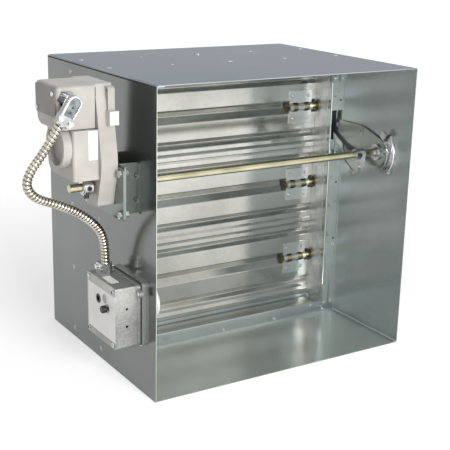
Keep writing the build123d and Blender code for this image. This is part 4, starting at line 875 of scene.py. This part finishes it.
@dataclass
class SmallMarks:
    """Painted shade: dark screw recesses on the channels, holes in the right jamb, joints between castings.
    """

    head_off: float = 4.9 * MM
    head_y: float = -147.25 * MM
    head_z: Pair = (318.5 * MM, 355.5 * MM)
    recess_radius: float = 2.0 * MM
    recess_height: float = 0.5 * MM
    web: Pair = (241 * MM, -13 * MM)  # X and Y of the holes in the jamb's front web
    web_z: Point = (150 * MM, 262 * MM, 420 * MM)
    web_radius: float = 1.9 * MM
    cheek: Pair = (233.5 * MM, -5 * MM)  # X and Y of those in its inner cheek
    cheek_z: Point = (155 * MM, 215 * MM, 465 * MM)
    cheek_radius: float = 1.7 * MM
    hole_height: float = 0.3 * MM
    line_stand: float = 0.3 * MM  # out of the castings, and line_sink into them
    line_sink: float = 2 * MM
    line_end: float = 4 * MM
    level_line: Pair = (0.2 * MM, 0.9 * MM)  # below and above the motor cover's lower side
    upright_line: float = 0.8 * MM

    def build(self) -> None:
        """Builds the marks on the channels, on the right-hand jamb and on the castings."""
        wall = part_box("sleeve_left_bottom")[0][0]
        heads = [(wall - self.head_off, self.head_y, z) for z in self.head_z]
        channel = discs(heads, TO_LEFT, self.recess_radius, self.recess_height)
        dress(merge("channel_screw_recesses", channel), DARK_RECESS)
        holes = discs([(*self.web, z) for z in self.web_z], TO_FRONT, self.web_radius, self.hole_height)
        cheek = [(*self.cheek, z) for z in self.cheek_z]
        holes += discs(cheek, TO_LEFT, self.cheek_radius, self.hole_height)
        dress(merge("jamb_holes", holes), DARK_RECESS)
        # Dark strips in the joints between the castings: painted shade
        low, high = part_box("motor_cover")
        front, back = low[1] - self.line_stand, low[1] + self.line_sink
        below, above = self.level_line
        lines = [
            block("line", (low[0] + self.line_end, front, low[2] - below), (high[0], back, low[2] + above)),
            block(
                "line",
                (high[0] - self.upright_line, front, low[2]),
                (high[0] + self.line_stand, back, high[2] - self.line_end),
            ),
        ]
        dress(merge("casting_joint_shade_lines", lines), DARK_RECESS)


@dataclass
class LapShadeSeals:
    """Thin dark strips along the blades' lower lips: painted shade in the gaps between blades, drawn as
    seals.
    """

    half_length: float = 229 * MM
    front: float = 46.95 * MM
    thickness: float = 1.1 * MM
    drop: float = 1.2 * MM
    reach: float = 78 * MM  # from a blade's middle down to its lip's edge

    def build(self) -> None:
        """Builds one dark strip for each blade, under the edge of its front lip."""
        for number in BLADES:
            edge = middle_of(*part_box(f"axle_clips_{number}"))[2] - self.reach
            lap_shade = block(
                f"blade_lap_shade_seal_{number}",
                (-self.half_length, self.front, edge - self.drop),
                (self.half_length, self.front + self.thickness, edge),
            )
            # Painted shade in the gap under the lip, drawn as a seal
            dress(lap_shade, GASKET, Body[f"BLADE_{number}"])


@dataclass
class CupRim:
    """The rolled rim round the sensor cup's face."""

    reach: float = 27.5 * MM
    thickness: float = 4 * MM
    proud: float = 2 * MM

    def build(self) -> None:
        """Builds the rim as a ring at the cup's inner end."""
        low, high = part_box("sensor_cup")
        _, y, z = middle_of(low, high)
        centre = (high[0] - self.thickness + self.proud, y, z)
        rim = ring(centre, TO_RIGHT, self.reach, self.thickness, along=64, across=20)
        rim.name = "sensor_cup_rim"
        # Drawn near white: painted light on the rim
        dress(rim, LIT_ZINC)


@dataclass
class StopRidge:
    """The raised ridge along the stop quadrant's flange, and the recesses in the screws round it."""

    face: float = 247.525 * MM
    centre: Pair = (-118 * MM, 341 * MM)  # the jackshaft's Y and Z
    reach: float = 43.5 * MM
    half_angle: float = 36.0
    thickness: float = 2.6 * MM
    half_cut: float = 9 * MM
    sink: float = 0.2 * MM  # how far behind the face the ridge is kept
    screw_rise: float = 3.2 * MM
    screw_angle: float = 45.0
    bracket_screw: Point = (242.8 * MM, -74 * MM, 372 * MM)
    recess_radius: float = 1.6 * MM
    recess_height: float = 0.3 * MM

    def around(self, degrees: float) -> Pair:
        """The place on the ridge's circle at an angle, in degrees, from straight ahead."""
        angle = math.radians(180 + degrees)
        return self.centre[0] + self.reach * math.cos(angle), self.centre[1] + self.reach * math.sin(angle)

    def ridge(self) -> Piece:
        """Adds a whole ring and cuts away its back part and what lies behind the flange's face."""
        piece = ring((self.face, *self.centre), TO_RIGHT, self.reach, self.thickness, along=96, across=16)
        clear = 2 * self.reach
        edge = self.around(self.half_angle)[0]
        low_z, high_z = self.centre[1] - clear, self.centre[1] + clear
        beyond = (self.face + self.half_cut, self.centre[0] + clear, high_z)
        cut_away(piece, block("cutter", (self.face - self.half_cut, edge, low_z), beyond))
        cut_away(piece, block("cutter", (self.face + self.sink, edge - clear, low_z), beyond))
        select_only(piece)
        bpy.ops.object.shade_smooth_by_angle(angle=SMOOTH_BELOW)
        piece.name = "stop_quadrant_ridge"
        return piece

    def build(self) -> None:
        """Builds the ridge and the recesses."""
        dress(self.ridge(), CLEAR_ZINC)
        heads = [(self.face - self.screw_rise, *self.around(side * self.screw_angle)) for side in (-1, 1)]
        heads.append(self.bracket_screw)
        # Dark discs in the screws' recesses: painted shade
        recesses = discs(heads, TO_LEFT, self.recess_radius, self.recess_height)
        piece = merge("mechanism_screw_recesses", recesses)
        dress(piece, DARK_RECESS)


@dataclass
class RivetHeads:
    """Bright heads of the rivets that hold the axle clips and the corner gussets."""

    clip_middle: float = 193.5 * MM
    clip_face: float = 46.0 * MM
    spread_x: float = 18 * MM
    spread_z: float = 21 * MM
    near: float = 6 * MM  # from a gusset's sides to its rivets
    far: float = 38 * MM
    radius: float = 2.6 * MM
    height: float = 0.8 * MM
    round: float = 0.35 * MM

    def heads(self, name: str, places: list[Point]) -> Piece:
        """Adds one piece that holds a low, round-edged head at each place."""
        pieces = [disc("head", place, TO_FRONT, self.radius, self.height, sides=16) for place in places]
        for piece in pieces:
            soften(piece, self.round)
        return merge(name, pieces)

    def on_clips(self, number: int) -> Piece:
        """Adds the eight heads on one blade's two clips."""
        middle = middle_of(*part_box(f"axle_clips_{number}"))[2]
        places = [
            (side * self.clip_middle + a * self.spread_x, self.clip_face, middle + b * self.spread_z)
            for side, a, b in product((-1, 1), repeat=3)
        ]
        return self.heads(f"clip_rivet_heads_{number}", places)

    def on_gussets(self) -> Piece:
        """Adds the three heads on each of the four gussets."""
        low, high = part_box("corner_gussets")
        sides = ((low[0], 1), (high[0], -1))
        ends = ((low[2], 1), (high[2], -1))
        places = [
            (x + inward * off_x, low[1], z + upward * off_z)
            for (x, inward), (z, upward) in product(sides, ends)
            for off_x, off_z in ((self.near, self.near), (self.far, self.near), (self.near, self.far))
        ]
        return self.heads("gusset_rivet_heads", places)

    def build(self) -> None:
        """Builds the heads on each blade's clips and on the gussets."""
        for number in BLADES:
            dress(self.on_clips(number), CLEAR_ZINC, Body[f"BLADE_{number}"])
        dress(self.on_gussets(), CLEAR_ZINC)


# ---- clinched joints and seams
@dataclass
class ClinchButtons:
    """Round clinched joints between the sleeve and the frame's flanges."""

    radius: float = 3.2 * MM
    rim: float = 0.55 * MM
    pitch: float = 115 * MM
    side_stretch: float = 1.012  # the side walls' pitch over that of the top
    rows: Pair = (-4.5 * MM, 105.5 * MM)
    sheets: float = 2.9 * MM  # the sleeve's sheet and the flange together

    def buttons(self, name: str, spots: list[tuple[Point, Point]]) -> Piece:
        """Adds one piece with a low rim at each spot: its middle, and the way that the sheet's face looks."""
        rims = [ring(place, axis, self.radius, self.rim, along=20, across=8) for place, axis in spots]
        return merge(name, rims)

    def build(self) -> None:
        """Builds the joints on the top, on both side walls and on the frame's flanges."""
        low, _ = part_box("sleeve_left_bottom")
        _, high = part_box("sleeve_top_right")
        middle = (low[2] + high[2]) / 2
        steps = range(-2, 3)
        heights = {step: middle + step * self.pitch * self.side_stretch for step in steps}
        outer = [((step * self.pitch, y, high[2]), UP) for step in steps for y in self.rows]
        outer += [((low[0], y, heights[step]), TO_LEFT) for step in steps for y in self.rows]
        outer += [((high[0], y, heights[step]), TO_RIGHT) for step in steps for y in self.rows]
        sleeve = self.buttons("sleeve_clinch_joints", outer)
        dress(sleeve, CLEAR_ZINC)
        front = self.rows[0]
        cheek = high[0] - self.sheets
        inner = [((step * self.pitch, front, low[2] + self.sheets), UP) for step in steps]
        inner += [((cheek, front, heights[step]), TO_LEFT) for step in steps if step]
        flange = self.buttons("flange_clinch_joints", inner)
        dress(flange, CLEAR_ZINC)


@dataclass
class SeamShadeAndHighlight:
    """Painted shade in the left wall's top seam, and a painted highlight on the floor seam's cut edge."""

    shade_stand: float = 0.15 * MM
    shade_below: Pair = (4.2 * MM, 2.0 * MM)  # its lower and its upper side, under the top
    highlight_inset: Pair = (3.2 * MM, 1.3 * MM)  # inside the right wall's outer face
    highlight_z: Pair = (1.3 * MM, 3.1 * MM)
    highlight_stop: float = -14.5 * MM  # in front of the frame

    def build(self) -> None:
        """Builds both strips along the sleeve's seams."""
        (left, front, _), (_, back, _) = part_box("sleeve_left_bottom")
        _, (right, _, top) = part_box("sleeve_top_right")
        # A dark strip in the top seam: painted shade
        seam_shade = block(
            "seam_shade_strip",
            (left - self.shade_stand, front, top - self.shade_below[0]),
            (left, back, top - self.shade_below[1]),
        )
        dress(seam_shade, GASKET)
        # A bright strip on the floor seam's cut edge: painted highlight
        edge = block(
            "floor_seam_highlight",
            (right - self.highlight_inset[0], front, self.highlight_z[0]),
            (right - self.highlight_inset[1], self.highlight_stop, self.highlight_z[1]),
        )
        dress(edge, LIT_ZINC)


# ---- camera, light and floor
@dataclass(frozen=True)
class Lamp:
    """One square area lamp: its name, its place, its side in metres and its power in watts."""

    name: str
    place: Point
    size: float
    power: float


@dataclass
class Studio:
    """A pale floor, a level studio light and the camera."""

    lens: float = 79.905
    sensor: float = 36.0
    place: Point = (-0.93228, -1.46848, 0.71739)
    azimuth: float = -32.414
    elevation: float = 16.395
    roll: float = 1.3745
    target: Point = (0, 0, 0.25)
    lamps: tuple[Lamp, ...] = (
        Lamp("key_softbox", (-0.25, -2.6, 0.9), 1.0, 76),
        Lamp("side_softbox", (-2.6, -0.6, 0.9), 1.6, 4.5),
    )
    sky: Pair = (0.45, 1.0)  # the light that things get, and the light that the camera sees
    floor_size: float = 60.0
    floor_drop: float = 0.5 * MM
    floor_paint: str = "#e8e8e8"
    shade_reach: Pair = (0.45, 1.3)  # the distances between which the floor's glow rises; it glows less near the damper: painted shade
    glow: Pair = (0.44, 0.68)

    def set_camera(self) -> None:
        """Creates the camera and makes it the scene's."""
        azimuth, elevation, roll = (math.radians(a) for a in (self.azimuth, self.elevation, self.roll))
        forward = Vector(
            (
                -math.sin(azimuth) * math.cos(elevation),
                math.cos(azimuth) * math.cos(elevation),
                -math.sin(elevation),
            )
        )
        right = forward.cross(Vector(UP)).normalized()
        up = right.cross(forward)
        tilted_right = right * math.cos(roll) + up * math.sin(roll)
        tilted_up = up * math.cos(roll) - right * math.sin(roll)
        data = bpy.data.cameras.new("studio_camera")
        data.lens = self.lens
        data.sensor_width = self.sensor
        camera = bpy.data.objects.new("studio_camera", data)
        bpy.context.collection.objects.link(camera)
        turn = Matrix((tilted_right, tilted_up, -forward)).transposed().to_4x4()
        camera.matrix_world = Matrix.Translation(self.place) @ turn
        bpy.context.scene.camera = camera

    def hang(self, lamp: Lamp) -> None:
        """Adds one lamp, which faces the damper's middle."""
        data = bpy.data.lights.new(lamp.name, "AREA")
        data.size = lamp.size
        data.energy = lamp.power
        piece = bpy.data.objects.new(lamp.name, data)
        bpy.context.collection.objects.link(piece)
        piece.location = lamp.place
        away = Vector(lamp.place) - Vector(self.target)
        piece.rotation_euler = away.to_track_quat("Z", "Y").to_euler()

    def seen_by_camera(self, tree: Tree) -> Socket:
        """Adds a socket that is 1 where the camera looks straight, through glass or in gloss, else 0."""
        ray = add_node(tree, "ShaderNodeLightPath")
        straight = add_node(
            tree,
            "ShaderNodeMath",
            {"operation": "MAXIMUM"},
            {0: ray.outputs["Is Camera Ray"], 1: ray.outputs["Is Transmission Ray"]},
        )
        either = add_node(
            tree,
            "ShaderNodeMath",
            {"operation": "MAXIMUM"},
            {0: straight.outputs[0], 1: ray.outputs["Is Glossy Ray"]},
        )
        return either.outputs[0]

    def set_world(self) -> None:
        """Lights the scene evenly, with a white background for the camera and for reflections."""
        world = bpy.data.worlds.new("studio_world")
        world.use_nodes = True
        tree = world.node_tree
        tree.nodes.clear()
        level = add_node(
            tree,
            "ShaderNodeMapRange",
            {"To Min": self.sky[0], "To Max": self.sky[1]},
            {"Value": self.seen_by_camera(tree)},
        )
        sky = add_node(tree, "ShaderNodeBackground", {"Color": (1, 1, 1, 1)}, {"Strength": level.outputs[0]})
        add_node(tree, "ShaderNodeOutputWorld", {}, {"Surface": sky.outputs[0]})
        bpy.context.scene.world = world

    def lay_floor(self) -> None:
        """Lays a pale floor that shows white to the camera and in gloss, and keeps the damper's shadow. It
        glows less near the damper: painted shade round it.
        """
        clear_selection()
        bpy.ops.mesh.primitive_plane_add(size=self.floor_size, location=(0, 0, -self.floor_drop))
        floor = bpy.context.object
        floor.name = "studio_floor"
        material, tree = new_tree("pale_floor")
        paint = add_node(tree, "ShaderNodeBsdfDiffuse", {"Color": linear(self.floor_paint)})
        place = add_node(tree, "ShaderNodeTexCoord").outputs["Object"]
        far = add_node(tree, "ShaderNodeVectorMath", {"operation": "LENGTH"}, {0: place})
        # The floor glows less near the damper: painted shade round it
        near, away = self.shade_reach
        level = add_node(
            tree,
            "ShaderNodeMapRange",
            {"From Min": near, "From Max": away, "To Min": self.glow[0], "To Max": self.glow[1]},
            {"Value": far.outputs["Value"]},
        )
        lit = add_node(
            tree,
            "ShaderNodeMath",
            {"operation": "MULTIPLY"},
            {0: level.outputs[0], 1: self.seen_by_camera(tree)},
        )
        glow = add_node(tree, "ShaderNodeEmission", {"Color": (1, 1, 1, 1)}, {"Strength": lit.outputs[0]})
        both = add_node(tree, "ShaderNodeAddShader", {}, {0: paint.outputs[0], 1: glow.outputs[0]})
        add_node(tree, "ShaderNodeOutputMaterial", {}, {"Surface": both.outputs[0]})
        floor.data.materials.append(material)

    def build(self) -> None:
        """Sets up the camera, the world, the lamps and the floor."""
        self.set_camera()
        self.set_world()
        for lamp in self.lamps:
            self.hang(lamp)
        self.lay_floor()
        bpy.context.scene.view_settings.view_transform = "Standard"


def main() -> None:
    """Dresses the damper, lays its conduit, adds its small pieces and sets up the studio."""
    logging.basicConfig(level=logging.INFO, format="%(name)s: %(message)s")
    finish_nodes()
    sleeve_low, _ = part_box("sleeve_left_bottom")
    FlexibleConduit(left_wall=sleeve_low[0], front_edge=sleeve_low[1]).build()
    details = (
        BarePlates(),
        ElbowFace(),
        DriveRecesses(),
        SmallMarks(),
        CupRim(),
        StopRidge(),
        RivetHeads(),
        LapShadeSeals(),
        ClinchButtons(),
        SeamShadeAndHighlight(),
    )
    for detail in details:
        detail.build()
    Studio().build()


if __name__ == "__main__":
    main()
